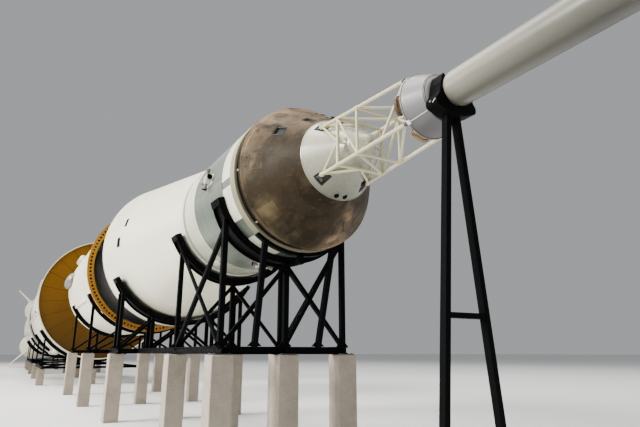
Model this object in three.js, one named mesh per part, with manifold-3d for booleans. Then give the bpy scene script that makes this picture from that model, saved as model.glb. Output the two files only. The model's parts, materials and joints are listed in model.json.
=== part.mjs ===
// A three-stage moon rocket with its spacecraft and escape tower, lying in separated sections on
// black steel cradles and concrete piers, as a museum shows it. The model is at 1:10.
// Millimetres, +Z up, +X towards the nose. Stations along the rocket's axis are counted from the
// capsule's base, so a millimetre here is a centimetre of the real rocket.
// An angle round the axis is 0 at the top and grows towards -Y.
import * as THREE from "three";
import { mergeVertices } from "three/addons/utils/BufferGeometryUtils.js";
import Module from "manifold-3d";

const wasm = await Module();
wasm.setup();

// Driving dimensions
const AXIS_HEIGHT = 710; // the rocket's axis above the floor
const GAP = 0.3; // between pieces that touch
const STAGE_R = 503; // first and second stages
const THIRD_R = 330; // third stage and the adapter's wide end
const CRAFT_R = 195.5; // capsule base and service module
const TUBE_R = 33; // escape motor
const SKIN = 10; // thickness of the open skirts
const ADAPTER_SKIN = 5;
const WIDE_SIDES = 36; // sides of the first and second stages
const SIDES = 28; // sides of the other large round pieces
const NARROW_SIDES = 20; // sides of the escape motor and its skirt

// Stations along the axis, nose to tail
const AT = {
  noseTip: 1190, noseBase: 1060, tubeStart: 538, skirtStep: 508, skirtBase: 472, towerFoot: 168,
  coverTip: 290, coverBase: 146.7, serviceFront: -28, serviceBand: -119,
  adapterFront: -492, adapterEnd: -1300,
  ringFront: -1775, third: -1800, thirdTank: -2110, thirdAft: -2773, thirdEnd: -2990,
  thirdGimbal: -3246,
  second: -3680, secondTank: -4030, secondAft: -5390, secondEnd: -5610, secondGimbal: -5706,
  first: -6400, firstTank: -6750, intertank: -8110, fuelTank: -8778, thrust: -9429,
  firstEnd: -10190, firstGimbal: -10053,
};

// Capsule cone
const CONE_TAN = Math.tan(THREE.MathUtils.degToRad(33));
const CONE_SLOPE = THREE.MathUtils.degToRad(33);
const coneRadius = (x) => CRAFT_R - x * CONE_TAN;

// Engines: sizes along the thrust line from the gimbal centre, and the gimbal's own sizes.
// A collar is a square band round the bell, at a share of the bell's length.
const BIG_ENGINE = {
  top: 30, chamberR: 51, chamberEnd: 75, throatAt: 100, throatR: 44, exitAt: 547, exitR: 178,
  wall: 5, sides: 14, collarAt: 0.6, collar: 14,
};
const SMALL_ENGINE = {
  top: 22, chamberR: 24, chamberEnd: 48, throatAt: 62, throatR: 19, exitAt: 294, exitR: 99,
  wall: 3, sides: 12,
};
const SERVICE_ENGINE = {
  top: 0, chamberR: 34, chamberEnd: 12, throatAt: 20, throatR: 24, exitAt: 285, exitR: 125,
  wall: 3, sides: 20,
};
const BELL_CURVE = 0.62; // a bell widens from throat to exit with this power of its length
const BELL_BEND = 0.4; // where along its length a bell's walls bend
const BIG_GIMBAL = { block: 16, pin: 5, hole: 6.3, clear: 0.8, ear: 8, earHalf: 9, plate: 35 };
const SMALL_GIMBAL = { block: 10, pin: 3.5, hole: 4.5, clear: 0.8, ear: 6, earHalf: 7, plate: 22 };
const FIRST_ENGINE_CIRCLE = 462;
const SECOND_ENGINE_CIRCLE = 267;
const DIAGONALS = [45, 135, 225, 315];

// Colours, roughness and metalness of the finishes
const finish = (color, roughness, metalness = 0) =>
  new THREE.MeshStandardMaterial({ color, roughness, metalness });
const WHITE = finish(0xdcdad2, 0.45);
const CREAM = finish(0xd8d2b0, 0.5);
const SILVER = finish(0xa9abac, 0.35, 0.6);
const BROWN = finish(0x8a7358, 0.8);
const GLASS = finish(0x5a6470, 0.1);
const YELLOW = finish(0xc79418, 0.55);
const ORANGE = finish(0xa87018, 0.6);
const STEEL = finish(0x16181a, 0.5, 0.3);
const ENGINE = finish(0x6e6a66, 0.35, 0.8);
const DARK = finish(0x2b2b2c, 0.6);

const X_AXIS = new THREE.Vector3(1, 0, 0);
const Y_AXIS = new THREE.Vector3(0, 1, 0);
const Z_AXIS = new THREE.Vector3(0, 0, 1);
const vec = (x, y, z) => new THREE.Vector3(x, y, z);
const radians = THREE.MathUtils.degToRad;

// A point at a station, radius and angle round the axis.
const polar = (x, r, degrees) =>
  vec(x, -r * Math.sin(radians(degrees)), r * Math.cos(radians(degrees)));

// A closed geometry as a solid with its faces outwards, whichever way its profile ran.
function solid(geometry, matrix) {
  geometry.deleteAttribute("normal");
  geometry.deleteAttribute("uv");
  if (matrix) geometry.applyMatrix4(matrix);
  const merged = mergeVertices(geometry, 1e-3);
  const vertProperties = merged.attributes.position.array;
  const triVerts = new Uint32Array(merged.index.array);
  const make = () => new wasm.Manifold(new wasm.Mesh({ numProp: 3, vertProperties, triVerts }));
  const made = make();
  if (made.volume() > 0) return made;
  for (let i = 0; i < triVerts.length; i += 3) {
    [triVerts[i + 1], triVerts[i + 2]] = [triVerts[i + 2], triVerts[i + 1]];
  }
  return make();
}

const join = (...solids) => solids.flat(Infinity).reduce((whole, part) => whole.add(part));
const cut = (body, ...tools) => body.subtract(join(tools));

// A profile of [station, radius] points turned about the rocket's axis.
function turned(profile, sides = SIDES) {
  const points = profile.map(([x, r]) => new THREE.Vector2(r, x));
  const geometry = new THREE.LatheGeometry(points, sides).rotateZ(-Math.PI / 2);
  return solid(geometry);
}

// A tube of square section turned about the axis, between two stations and two radii.
const ring = (x0, x1, inner, outer, sides = SIDES) =>
  turned([[x0, inner], [x0, outer], [x1, outer], [x1, inner], [x0, inner]], sides);

const drum = (x0, x1, r, sides = SIDES) => turned([[x0, 0], [x0, r], [x1, r], [x1, 0]], sides);

function box(x0, x1, y0, y1, z0, z1) {
  const geometry = new THREE.BoxGeometry(x1 - x0, y1 - y0, z1 - z0);
  return solid(geometry.translate((x0 + x1) / 2, (y0 + y1) / 2, (z0 + z1) / 2));
}

// A round rod between two points, or a cone where the second radius differs.
function rod(from, to, r, sides = 6, rTo = r) {
  const along = to.clone().sub(from);
  const geometry = new THREE.CylinderGeometry(rTo, r, along.length(), sides);
  const turn = new THREE.Quaternion().setFromUnitVectors(Y_AXIS, along.normalize());
  const middle = from.clone().add(to).multiplyScalar(0.5);
  return solid(geometry, new THREE.Matrix4().compose(middle, turn, vec(1, 1, 1)));
}

// A bar of rectangular section between two points; its first width lies along the given side.
function bar(from, to, sideWidth, otherWidth = sideWidth, side = X_AXIS) {
  const along = to.clone().sub(from);
  const length = along.length();
  const up = along.normalize();
  const other = side.clone().cross(up).normalize();
  const first = up.clone().cross(other).normalize();
  const place = new THREE.Matrix4().makeBasis(first, up, other);
  place.setPosition(from.clone().add(to).multiplyScalar(0.5));
  return solid(new THREE.BoxGeometry(sideWidth, length, otherWidth), place);
}

// An outline of [y, z] points carried along the axis between two stations.
function crossways(outline, x0, x1) {
  const shape = new THREE.Shape(outline.map(([y, z]) => new THREE.Vector2(y, z)));
  const geometry = new THREE.ExtrudeGeometry(shape, { depth: x1 - x0, bevelEnabled: false });
  const place = new THREE.Matrix4().makeBasis(Y_AXIS, Z_AXIS, X_AXIS).setPosition(x0, 0, 0);
  return solid(geometry, place);
}

// The points of an arc round the axis, for crossways.
function arc(r, from, to, steps) {
  return Array.from({ length: steps + 1 }, (_, i) => {
    const p = polar(0, r, from + ((to - from) * i) / steps);
    return [p.y, p.z];
  });
}

// A curved pad under the rocket: a band round a radius, from one angle to its mirror. The flats
// of its inside touch that radius.
function saddle(x0, x1, r, thick, fromAngle, steps = 8) {
  const widen = 1 / Math.cos(radians((180 - fromAngle) / steps));
  const outer = arc((r + thick) * widen, fromAngle, 360 - fromAngle, steps);
  const inner = arc(r * widen, 360 - fromAngle, fromAngle, steps);
  return crossways([...outer, ...inner], x0, x1);
}

// The frame at a point of the capsule's cone: X up the slope, Z out of the wall.
function onCone(x, degrees) {
  const place = new THREE.Matrix4().makeRotationX(radians(degrees));
  const slope = new THREE.Matrix4().makeRotationY(CONE_SLOPE).setPosition(x, 0, coneRadius(x));
  return place.multiply(slope);
}

const moved = (body, matrix) => body.transform(matrix.elements);
const shifted = (body, x, y, z) => body.translate([x, y, z]);

const rocket = new THREE.Group();

function add(name, body, material) {
  const data = body.getMesh();
  const geometry = new THREE.BufferGeometry();
  const vertices = new Float32Array(data.numVert * 3);
  for (let i = 0; i < data.numVert; i += 1) {
    const start = i * data.numProp;
    vertices.set(data.vertProperties.subarray(start, start + 3), i * 3);
  }
  geometry.setAttribute("position", new THREE.BufferAttribute(vertices, 3));
  geometry.setIndex(new THREE.BufferAttribute(data.triVerts, 1));
  geometry.computeVertexNormals();
  const mesh = new THREE.Mesh(geometry, material);
  mesh.name = name;
  rocket.add(mesh);
}

// Escape tower: motor with nose and vanes, skirt with four nozzles, and the truss
const NOSE_PROFILE = [[1148, 9], [1158, 6], [AT.noseTip, 2], [AT.noseTip, 0]];
const VANES = { from: 1070, to: 1104, reach: 62, halfThick: 1.5 };
const NOZZLE_ANGLES = [0, 90, 180, 270];
const NOZZLE = { from: [480, 22], to: [442, 44], throatR: 8, exitR: 14 };
const SKIRT_R = 72.5;
const NECK_R = 30;
const TRUSS_ANGLES = [42.6, 137.4, 222.6, 317.4];
const TRUSS_TOP_R = 66;
const TRUSS_FOOT_R = 84;
const TRUSS_FOOT = -0.039; // how far the legs reach into their wells, as a share of their length
const TRUSS_FRAMES = [0.2, 0.48, 0.76];
const LONGERON_R = 4;
const BRACE_R = 2.6;

function escapeMotor() {
  const tube = turned(
    [
      [AT.tubeStart, 0], [AT.tubeStart, TUBE_R - 8], [AT.tubeStart + 4, TUBE_R - 2],
      [AT.tubeStart + 14, TUBE_R], [AT.noseBase, TUBE_R], ...NOSE_PROFILE,
    ],
    NARROW_SIDES,
  );
  const { from, to, reach, halfThick } = VANES;
  return join(tube, box(from, to, -reach, reach, -halfThick, halfThick));
}

function escapeSkirt() {
  const shell = turned(
    [
      [AT.skirtBase, 0], [AT.skirtBase, SKIRT_R], [AT.skirtStep - 8, 64], [AT.skirtStep - 8, 58],
      [AT.skirtStep, 55], [AT.skirtStep, 44], [AT.skirtStep + 6, 36], [AT.skirtStep + 6, NECK_R],
      [AT.tubeStart - GAP, NECK_R], [AT.tubeStart - GAP, 0],
    ],
    NARROW_SIDES,
  );
  const nozzles = NOZZLE_ANGLES.map((angle) =>
    rod(polar(...NOZZLE.from, angle), polar(...NOZZLE.to, angle), NOZZLE.throatR, 8, NOZZLE.exitR),
  );
  return join(shell, nozzles);
}

// Four legs from the cover's wells to the skirt, three frames round them and a diagonal in each
// side between one frame and the next.
function escapeTower() {
  const topX = AT.skirtBase - 2 * GAP;
  const on = (angle, t) => polar(
    AT.towerFoot + t * (topX - AT.towerFoot),
    TRUSS_FOOT_R + t * (TRUSS_TOP_R - TRUSS_FOOT_R),
    angle,
  );
  const sides = TRUSS_ANGLES.map((angle, i) => [angle, TRUSS_ANGLES[(i + 1) % 4]]);
  const legs = TRUSS_ANGLES.map((angle) => rod(on(angle, TRUSS_FOOT), on(angle, 1), LONGERON_R, 5));
  const braces = sides.flatMap(([angle, next], side) =>
    TRUSS_FRAMES.flatMap((t, level) => {
      const frame = rod(on(angle, t), on(next, t), BRACE_R, 4);
      if (level === 0) return [frame];
      const [from, to] = (level + side) % 2 ? [angle, next] : [next, angle];
      return [frame, rod(on(from, TRUSS_FRAMES[level - 1]), on(to, t), BRACE_R, 4)];
    }),
  );
  return join(legs, braces);
}

add("escape_motor", escapeMotor(), WHITE);
add("escape_skirt", escapeSkirt(), SILVER);
add("escape_tower", escapeTower(), CREAM);

// Capsule: forward cover, hollow cone with its windows and hatch, heat shield and cabin
const WALL = 9;
const WELL = { from: 156, to: 190, halfWidth: 13, depth: 14 };
const HATCH = { at: 86, halfLength: 43, halfWidth: 37, gap: 1.5, taper: 0.94 };
const HINGE = { y: 42, lift: 3.2, knuckleR: 3, pinR: 1.6, knuckleHalf: 17, lugHalf: 24 };
// side, station, angle, half length up the slope, half width
const WINDOWS = [
  ["left_side", 79.5, 58.7, 15, 13], ["left_forward", 117, 31, 17, 9],
  ["right_forward", 117, -31, 17, 9], ["right_side", 79.5, -58.7, 15, 13],
];

function forwardCover() {
  const cone = turned(
    [
      [AT.coverBase + GAP, 0], [AT.coverBase + GAP, coneRadius(AT.coverBase)], [236, 43],
      [256, 35], [270, 24], [AT.coverTip - 4, 11], [AT.coverTip, 0],
    ],
  );
  const middle = (WELL.from + WELL.to) / 2;
  const well = box((WELL.from - WELL.to) / 2, (WELL.to - WELL.from) / 2,
    -WELL.halfWidth, WELL.halfWidth, -WELL.depth, 10);
  return cut(cone, TRUSS_ANGLES.map((angle) => moved(well, onCone(middle, angle))));
}

// The hatch's opening, or the hatch with its edges drawn in towards the cabin.
function hatchBlock(gap, taper) {
  const half = (size) => (size - gap) / Math.cos(Math.PI / 4);
  const geometry = new THREE.CylinderGeometry(1, taper, 40, 4, 1).rotateY(Math.PI / 4);
  geometry.rotateX(Math.PI / 2).scale(half(HATCH.halfLength), half(HATCH.halfWidth), 1);
  return solid(geometry.translate(0, 0, 4));
}

const coneShell = () => {
  const inside = (x) => coneRadius(x) - WALL / Math.cos(CONE_SLOPE);
  const front = AT.coverBase - 8;
  return turned(
    [
      [3, inside(3)], [3, coneRadius(3)], [AT.coverBase, coneRadius(AT.coverBase)],
      [AT.coverBase, 0], [front, 0], [front, inside(front)], [3, inside(3)],
    ],
  );
};

const alongHinge = (from, to, r) =>
  rod(vec(from, HINGE.y, HINGE.lift), vec(to, HINGE.y, HINGE.lift), r, 8);

function capsuleCone() {
  const hatchFrame = onCone(HATCH.at, 0);
  const openings = WINDOWS.map(([, x, angle, halfLength, halfWidth]) =>
    moved(box(-halfLength, halfLength, -halfWidth, halfWidth, -30, 10), onCone(x, angle)),
  );
  const lug = (from, to) =>
    cut(box(from, to, HINGE.y - 2.5, HINGE.y + 2.5, -6, HINGE.lift + 3),
      alongHinge(from - 1, to + 1, HINGE.pinR + 0.4));
  const lugs = [
    lug(HINGE.knuckleHalf + 1, HINGE.lugHalf), lug(-HINGE.lugHalf, -HINGE.knuckleHalf - 1),
  ];
  const shell = cut(coneShell(), moved(hatchBlock(0, HATCH.taper), hatchFrame), openings);
  return join(shell, lugs.map((body) => moved(body, hatchFrame)));
}

function capsuleHatch() {
  const frame = onCone(HATCH.at, 0);
  const door = coneShell().intersect(moved(hatchBlock(HATCH.gap, HATCH.taper), frame));
  const arm = box(-9, 9, HATCH.halfWidth - 12, HINGE.y, HINGE.lift - 2.6, HINGE.lift + 1.5);
  const foot = box(-9, 9, HATCH.halfWidth - 12, HATCH.halfWidth - 4, -7, HINGE.lift);
  const knuckle = alongHinge(-HINGE.knuckleHalf, HINGE.knuckleHalf, HINGE.knuckleR);
  const pin = alongHinge(-HINGE.lugHalf + 1, HINGE.lugHalf - 1, HINGE.pinR);
  return join(door, [arm, foot, knuckle, pin].map((body) => moved(body, frame)));
}

function windowPane([, x, angle, halfLength, halfWidth]) {
  const [a, b] = [halfLength - GAP, halfWidth - GAP];
  return moved(box(-a, a, -b, b, -WALL + 1, -WALL + 4), onCone(x, angle));
}

// The blunt heat shield's depth at a radius, from a sphere through its rim.
const SHIELD_SPHERE = 469;
const shieldDepth = (r) => Math.sqrt(SHIELD_SPHERE ** 2 - r * r)
  - Math.sqrt(SHIELD_SPHERE ** 2 - CRAFT_R ** 2);

function heatShield() {
  const dome = [186, 130, 65, 0].map((r) => [-4 - shieldDepth(r), r]);
  return turned([[3 - GAP, 0], [3 - GAP, CRAFT_R - 1], [0, CRAFT_R], [-4, 193], ...dome]);
}

// Three couches on their frame and the instrument panel on two posts, all on the cabin floor.
function cabin() {
  const floor = drum(3, 12, 172, 24);
  const beams = [-48, 0, 48].map((y) => box(11, 34, y - 6, y + 6, -60, 70));
  const couches = [-48, 0, 48].map((y) => [
    box(32, 42, y - 21, y + 21, -50, 82), box(40, 66, y - 21, y + 21, -58, -48),
  ]);
  const panel = box(96, 106, -78, 78, -26, 34);
  const posts = [-76, 76].map((y) => box(11, 100, y - 3, y + 3, -8, 8));
  return join(floor, beams, couches, panel, posts);
}

add("capsule_forward_cover", forwardCover(), WHITE);
add("capsule_cone", capsuleCone(), BROWN);
add("capsule_hatch", capsuleHatch(), BROWN);
WINDOWS.forEach((row) => add(`capsule_window_${row[0]}`, windowPane(row), GLASS));
add("capsule_heat_shield", heatShield(), BROWN);
add("capsule_cabin", cabin(), SILVER);

// Service module: front ring that holds the heat shield, body with four thruster blocks, engine
const THRUSTER_AT = -226;
const THRUSTER_ANGLE = 82.75;

function serviceFront() {
  return turned([
    [AT.serviceBand, 0], [AT.serviceBand, CRAFT_R], [AT.serviceFront, CRAFT_R],
    [AT.serviceFront, 188], [-12.2, 188], [-12.2, 176], [-60, 176], [-60, 0],
  ]);
}

function serviceBody() {
  const body = drum(AT.serviceBand - GAP, AT.adapterFront, CRAFT_R);
  const arms = [[1, 0], [-1, 0], [0, 1], [0, -1]];
  const blocks = [0, 1, 2, 3].map((quarter) => {
    const place = new THREE.Matrix4().makeRotationX(radians(THRUSTER_ANGLE + 90 * quarter));
    place.multiply(new THREE.Matrix4().makeTranslation(THRUSTER_AT, 0, CRAFT_R));
    const bells = arms.map(([a, b]) => rod(vec(8 * a, 8 * b, 9), vec(33 * a, 33 * b, 12), 3, 6, 8));
    return [box(-13, 13, -13, 13, -5, 15), ...bells].map((part) => moved(part, place));
  });
  return join(body, blocks);
}

const bellRadius = ({ throatR, exitR }, t) => throatR + (exitR - throatR) * t ** BELL_CURVE;

// The chamber and open bell of an engine that points towards -X from x = 0.
function engineBody(size) {
  const { top, chamberR, chamberEnd, throatAt, throatR, exitAt, wall, sides } = size;
  const { collarAt = 1, collar = 0 } = size;
  const at = (t) => -(throatAt + t * (exitAt - throatAt));
  const bell = (t, extra = 0) => [at(t), bellRadius(size, t) + extra];
  const collarEnd = collarAt + collar / (exitAt - throatAt);
  const belt = collar > 0
    ? [bell(collarAt), bell(collarAt, collar), bell(collarEnd, collar), bell(collarEnd)]
    : [];
  const profile = [
    [-top, 0], [-top, chamberR], [-chamberEnd, chamberR], [-throatAt, throatR], bell(BELL_BEND),
    ...belt, bell(1), bell(1, -wall), bell(BELL_BEND, -wall),
    [-throatAt - wall, throatR - wall], [-throatAt - wall, 0],
  ];
  return turned(profile, sides);
}

const serviceEngine = () => shifted(engineBody(SERVICE_ENGINE), AT.adapterFront - GAP, 0, 0);

const adapter = () => turned([
  [AT.adapterEnd, THIRD_R - ADAPTER_SKIN], [AT.adapterEnd, THIRD_R],
  [AT.adapterFront - GAP, CRAFT_R], [AT.adapterFront - GAP, CRAFT_R - ADAPTER_SKIN],
  [AT.adapterEnd, THIRD_R - ADAPTER_SKIN],
]);

add("service_front_ring", serviceFront(), WHITE);
add("service_body", serviceBody(), SILVER);
add("service_engine", serviceEngine(), ENGINE);
add("adapter", adapter(), WHITE);

// Gimbals: a block on two pins in the stage's ears, which carries the engine's ears on two more.
// The pins in the stage lie along Y, those in the engine along Z.
function gimbalBlock({ block, pin, clear, ear }) {
  const reach = block + clear + ear;
  return join(
    box(-block, block, -block, block, -block, block),
    rod(vec(0, -reach, 0), vec(0, reach, 0), pin),
    rod(vec(0, 0, -reach), vec(0, 0, reach), pin),
  );
}

// Two ears with round holes from x0 to x1 beside the gimbal centre, along Y or Z.
function ears({ block, hole, clear, ear, earHalf }, x0, x1, alongY) {
  const near = block + clear;
  const far = near + ear;
  const bore = alongY
    ? rod(vec(0, -far - 1, 0), vec(0, far + 1, 0), hole)
    : rod(vec(0, 0, -far - 1), vec(0, 0, far + 1), hole);
  return [-1, 1].map((side) => {
    const [a, b] = [side * near, side * far].sort((p, q) => p - q);
    const plate = alongY
      ? box(x0, x1, a, b, -earHalf, earHalf)
      : box(x0, x1, -earHalf, earHalf, a, b);
    return cut(plate, bore);
  });
}

const stageEars = (size) => ears(size, -size.earHalf, size.plate + 2, true);
const gimballed = (engine, size) => [...ears(size, -engine.top - 3, size.earHalf, false)];

// Pumps and bottle beside a small engine's chamber, each on an arm.
function smallEngineGear() {
  return [
    rod(vec(-36, 0, 44), vec(-84, 0, 44), 14), box(-48, -38, -5, 5, 10, 40),
    rod(vec(-36, 0, -42), vec(-78, 0, -42), 16), box(-48, -38, -5, 5, -40, -10),
    rod(vec(-44, 38, 0), vec(-44, 84, 0), 20), box(-48, -38, 14, 44, -5, 5),
  ];
}

// Turbopump beside a big engine's chamber.
function bigEngineGear() {
  return [
    rod(vec(-50, 0, 92), vec(-132, 0, 92), 26), box(-72, -58, -9, 9, 40, 80),
  ];
}

const bigEngine = () => join(engineBody(BIG_ENGINE), bigEngineGear());
const smallEngine = () => join(engineBody(SMALL_ENGINE), smallEngineGear());

// Where a stage's engines stand round its axis: the middle one, then the four on the diagonals.
const engineSpots = (circle) => DIAGONALS.map((angle) => polar(0, circle, angle));

// A fixed middle engine has a stub up to the stage's plate in place of ears.
const stub = (engine, { plate }) => box(-engine.top - 2, plate - GAP, -9, 9, -9, 9);

function addEngines(stage, x, circle, engine, engineSize, gimbalSize) {
  engineSpots(circle).forEach((spot, i) => {
    const block = gimbalBlock(gimbalSize);
    const moving = join(engine(), gimballed(engineSize, gimbalSize));
    add(`${stage}_gimbal_${i + 1}`, shifted(block, x, spot.y, spot.z), DARK);
    add(`${stage}_engine_${i + 1}`, shifted(moving, x, spot.y, spot.z), ENGINE);
  });
  const middle = join(engine(), stub(engineSize, gimbalSize));
  add(`${stage}_engine_middle`, shifted(middle, x, 0, 0), ENGINE);
}

// Third stage
const HANDLING_RING = { innerR: 306, outerR: THIRD_R + 11 };
// Fairings outside the aft skirt's skin, at an angle and the one across from it: half width,
// height and how far the nose reaches ahead of the skirt
const CONTROL_FAIRING = { angles: [84, 264], half: 45, height: 36, nose: 62 };
const BOOST_FAIRING = { angles: [56, 236], half: 22, height: 30, nose: 30 };
const DOME_STEPS = [90, 62, 36, 14, 0]; // degrees of a front dome's profile

// A tank between two stations with a domed front inside the skirt ahead of it.
function tank(front, rear, r, domeHeight, sides, rearPoints = [[rear, r], [rear, 0]]) {
  const domeR = r - SKIN - 3;
  const dome = DOME_STEPS.map((degrees) => [
    front + domeHeight * Math.sin(radians(degrees)), domeR * Math.cos(radians(degrees)),
  ]);
  return turned([...dome, [front, r], ...rearPoints], sides);
}

// The rear dome stops where the thrust cone meets it.
const REAR_DOME_STOP = 50;
const rearDome = (degrees) => [
  AT.thirdAft - THIRD_R * Math.sin(radians(degrees)),
  (THIRD_R - SKIN - 3) * Math.cos(radians(degrees)),
];
const [THIRD_DOME_END, THIRD_DOME_END_R] = rearDome(REAR_DOME_STOP);

function thirdTank() {
  const end = AT.thirdAft + GAP;
  const rear = [0, REAR_DOME_STOP / 2, REAR_DOME_STOP].map((degrees) => {
    const [x, r] = rearDome(degrees);
    return [x + GAP, r];
  });
  const points = [[end, THIRD_R], ...rear, [THIRD_DOME_END + GAP, 0]];
  return tank(AT.thirdTank - GAP, end, THIRD_R, 318, SIDES, points);
}

function thirdThrustCone() {
  const plate = AT.thirdGimbal + SMALL_GIMBAL.plate;
  const cone = turned([
    [THIRD_DOME_END, 0], [THIRD_DOME_END, THIRD_DOME_END_R], [plate + 10, 40], [plate, 40],
    [plate, 0],
  ], 24);
  return join(cone, stageEars(SMALL_GIMBAL).map((ear) => shifted(ear, AT.thirdGimbal, 0, 0)));
}

// A round-backed fairing outside the aft skirt's skin, with a pad under it that joins it to the
// skin and a nose ahead of it.
function aftFairing({ half, height, nose }, angle) {
  const place = new THREE.Matrix4().makeRotationX(radians(angle));
  const [side, crest, low] = [half * 0.8, half * 0.4, height * 0.6];
  const outline = [[-half, -8], [half, -8], [side, low], [crest, height], [-crest, height],
    [-side, low]];
  const front = AT.thirdAft + 12;
  const body = shifted(crossways(outline, AT.thirdEnd + 4, front), 0, 0, THIRD_R);
  const point = rod(vec(front - 2, 0, THIRD_R + 3), vec(AT.thirdAft + nose, 0, THIRD_R - 2),
    side * 0.83, 12, 4);
  const inner = drum(AT.thirdEnd, AT.thirdAft + nose + 20, THIRD_R + GAP);
  const pad = box(AT.thirdEnd + 20, AT.thirdAft - 20, -crest, crest, THIRD_R - 5, THIRD_R + 6);
  return [cut(moved(join(body, point), place), inner), moved(pad, place)];
}

function thirdAftSkirt() {
  const skirt = ring(AT.thirdEnd, AT.thirdAft, THIRD_R - SKIN, THIRD_R);
  const fairings = [CONTROL_FAIRING, BOOST_FAIRING].flatMap((size) =>
    size.angles.map((angle) => aftFairing(size, angle)),
  );
  return join(skirt, fairings);
}

add("stage3_handling_ring",
  ring(AT.third + GAP, AT.ringFront, HANDLING_RING.innerR, HANDLING_RING.outerR), YELLOW);
add("stage3_forward_skirt", ring(AT.thirdTank, AT.third, THIRD_R - SKIN, THIRD_R), WHITE);
add("stage3_tank", thirdTank(), WHITE);
add("stage3_aft_skirt", thirdAftSkirt(), WHITE);
add("stage3_thrust_cone", thirdThrustCone(), SILVER);
add("stage3_gimbal", shifted(gimbalBlock(SMALL_GIMBAL), AT.thirdGimbal, 0, 0), DARK);
add("stage3_engine", shifted(join(smallEngine(), gimballed(SMALL_ENGINE, SMALL_GIMBAL)),
  AT.thirdGimbal, 0, 0), ENGINE);

// Second stage
function secondThrustCone() {
  const plate = AT.secondGimbal + SMALL_GIMBAL.plate;
  const cone = turned([
    [AT.secondAft - GAP, 0], [AT.secondAft - GAP, STAGE_R - SKIN - 5], [plate + 12, 302],
    [plate, 302], [plate, 0],
  ], WIDE_SIDES);
  const brackets = engineSpots(SECOND_ENGINE_CIRCLE).map((spot) =>
    stageEars(SMALL_GIMBAL).map((ear) => shifted(ear, AT.secondGimbal, spot.y, spot.z)),
  );
  return join(cone, brackets);
}

add("stage2_forward_skirt", ring(AT.secondTank, AT.second, STAGE_R - SKIN, STAGE_R, WIDE_SIDES), WHITE);
add("stage2_tank", tank(AT.secondTank - GAP, AT.secondAft, STAGE_R, 330, WIDE_SIDES), ORANGE);
add("stage2_aft_skirt", ring(AT.secondEnd, AT.secondAft - GAP, STAGE_R - SKIN, STAGE_R, WIDE_SIDES), WHITE);
add("stage2_thrust_cone", secondThrustCone(), SILVER);
addEngines("stage2", AT.secondGimbal, SECOND_ENGINE_CIRCLE, smallEngine, SMALL_ENGINE, SMALL_GIMBAL);

// First stage
const FAIRING = { from: -9480, fromR: 41, toR: 215, sides: 16 };
const BASE_PLATE = 20;
const ENGINE_HOLE_R = 134;
const FIN = { rootFrom: -9850, tipFrom: -10030, tipR: 960, rootHalf: 15, tipHalf: 6 };

const fairingRadius = (x) => FAIRING.fromR
  + ((FAIRING.from - x) / (FAIRING.from - AT.firstEnd)) * (FAIRING.toR - FAIRING.fromR);

function fairing(spot, x0, x1, inset) {
  const [r0, r1] = [fairingRadius(x0) - inset, fairingRadius(x1) - inset];
  const profile = [[x0, 0], [x0, r0], [x1, r1], [x1, 0]];
  return shifted(turned(profile, FAIRING.sides), 0, spot.y, spot.z);
}

function thrustSection() {
  const spots = engineSpots(FIRST_ENGINE_CIRCLE);
  const plate = AT.firstGimbal + BIG_GIMBAL.plate;
  const floor = AT.firstEnd + BASE_PLATE;
  const outside = join(
    drum(AT.firstEnd, AT.thrust - GAP, STAGE_R, WIDE_SIDES),
    spots.map((spot) => fairing(spot, AT.firstEnd, FAIRING.from, 0)),
  );
  const hollow = join(
    drum(floor, plate, STAGE_R - SKIN, WIDE_SIDES),
    spots.map((spot) => fairing(spot, floor, plate, SKIN)),
  );
  const holes = [vec(0, 0, 0), ...spots].map((spot) =>
    shifted(drum(AT.firstEnd - 5, floor + 5, ENGINE_HOLE_R, 12), 0, spot.y, spot.z),
  );
  const brackets = spots.map((spot) =>
    stageEars(BIG_GIMBAL).map((ear) => shifted(ear, AT.firstGimbal, spot.y, spot.z)),
  );
  return join(cut(outside, hollow, holes), brackets);
}

// A tapered fin standing on the crest of a fairing, thinner towards its tip.
function fin(angle) {
  const rootR = (x) => FIRST_ENGINE_CIRCLE + fairingRadius(x) + GAP;
  const wedge = (x, y, r) => polar(x, r, 0).setY(y);
  const corners = [
    [FIN.rootFrom, rootR(FIN.rootFrom), FIN.rootHalf], [AT.firstEnd, rootR(AT.firstEnd), FIN.rootHalf],
    [AT.firstEnd, FIN.tipR, FIN.tipHalf], [FIN.tipFrom, FIN.tipR, FIN.tipHalf],
  ];
  const points = [-1, 1].flatMap((side) =>
    corners.flatMap(([x, r, half]) => wedge(x, side * half, r).toArray()),
  );
  const geometry = new THREE.BufferGeometry();
  geometry.setAttribute("position", new THREE.Float32BufferAttribute(points, 3));
  geometry.setIndex([
    0, 1, 2, 0, 2, 3, 4, 6, 5, 4, 7, 6, 0, 4, 5, 0, 5, 1, 1, 5, 6, 1, 6, 2, 2, 6, 7, 2, 7, 3,
    3, 7, 4, 3, 4, 0,
  ]);
  return solid(geometry, new THREE.Matrix4().makeRotationX(radians(angle)));
}

add("stage1_forward_skirt", ring(AT.firstTank, AT.first, STAGE_R - SKIN, STAGE_R, WIDE_SIDES), WHITE);
add("stage1_oxidiser_tank", tank(AT.firstTank - GAP, AT.intertank, STAGE_R, 330, WIDE_SIDES), WHITE);
add("stage1_intertank", drum(AT.fuelTank, AT.intertank - GAP, STAGE_R, WIDE_SIDES), WHITE);
add("stage1_fuel_tank", drum(AT.thrust, AT.fuelTank - GAP, STAGE_R, WIDE_SIDES), WHITE);
add("stage1_thrust_section", thrustSection(), WHITE);
DIAGONALS.forEach((angle, i) => add(`stage1_fin_${i + 1}`, fin(angle), WHITE));
addEngines("stage1", AT.firstGimbal, FIRST_ENGINE_CIRCLE, bigEngine, BIG_ENGINE, BIG_GIMBAL);

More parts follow.
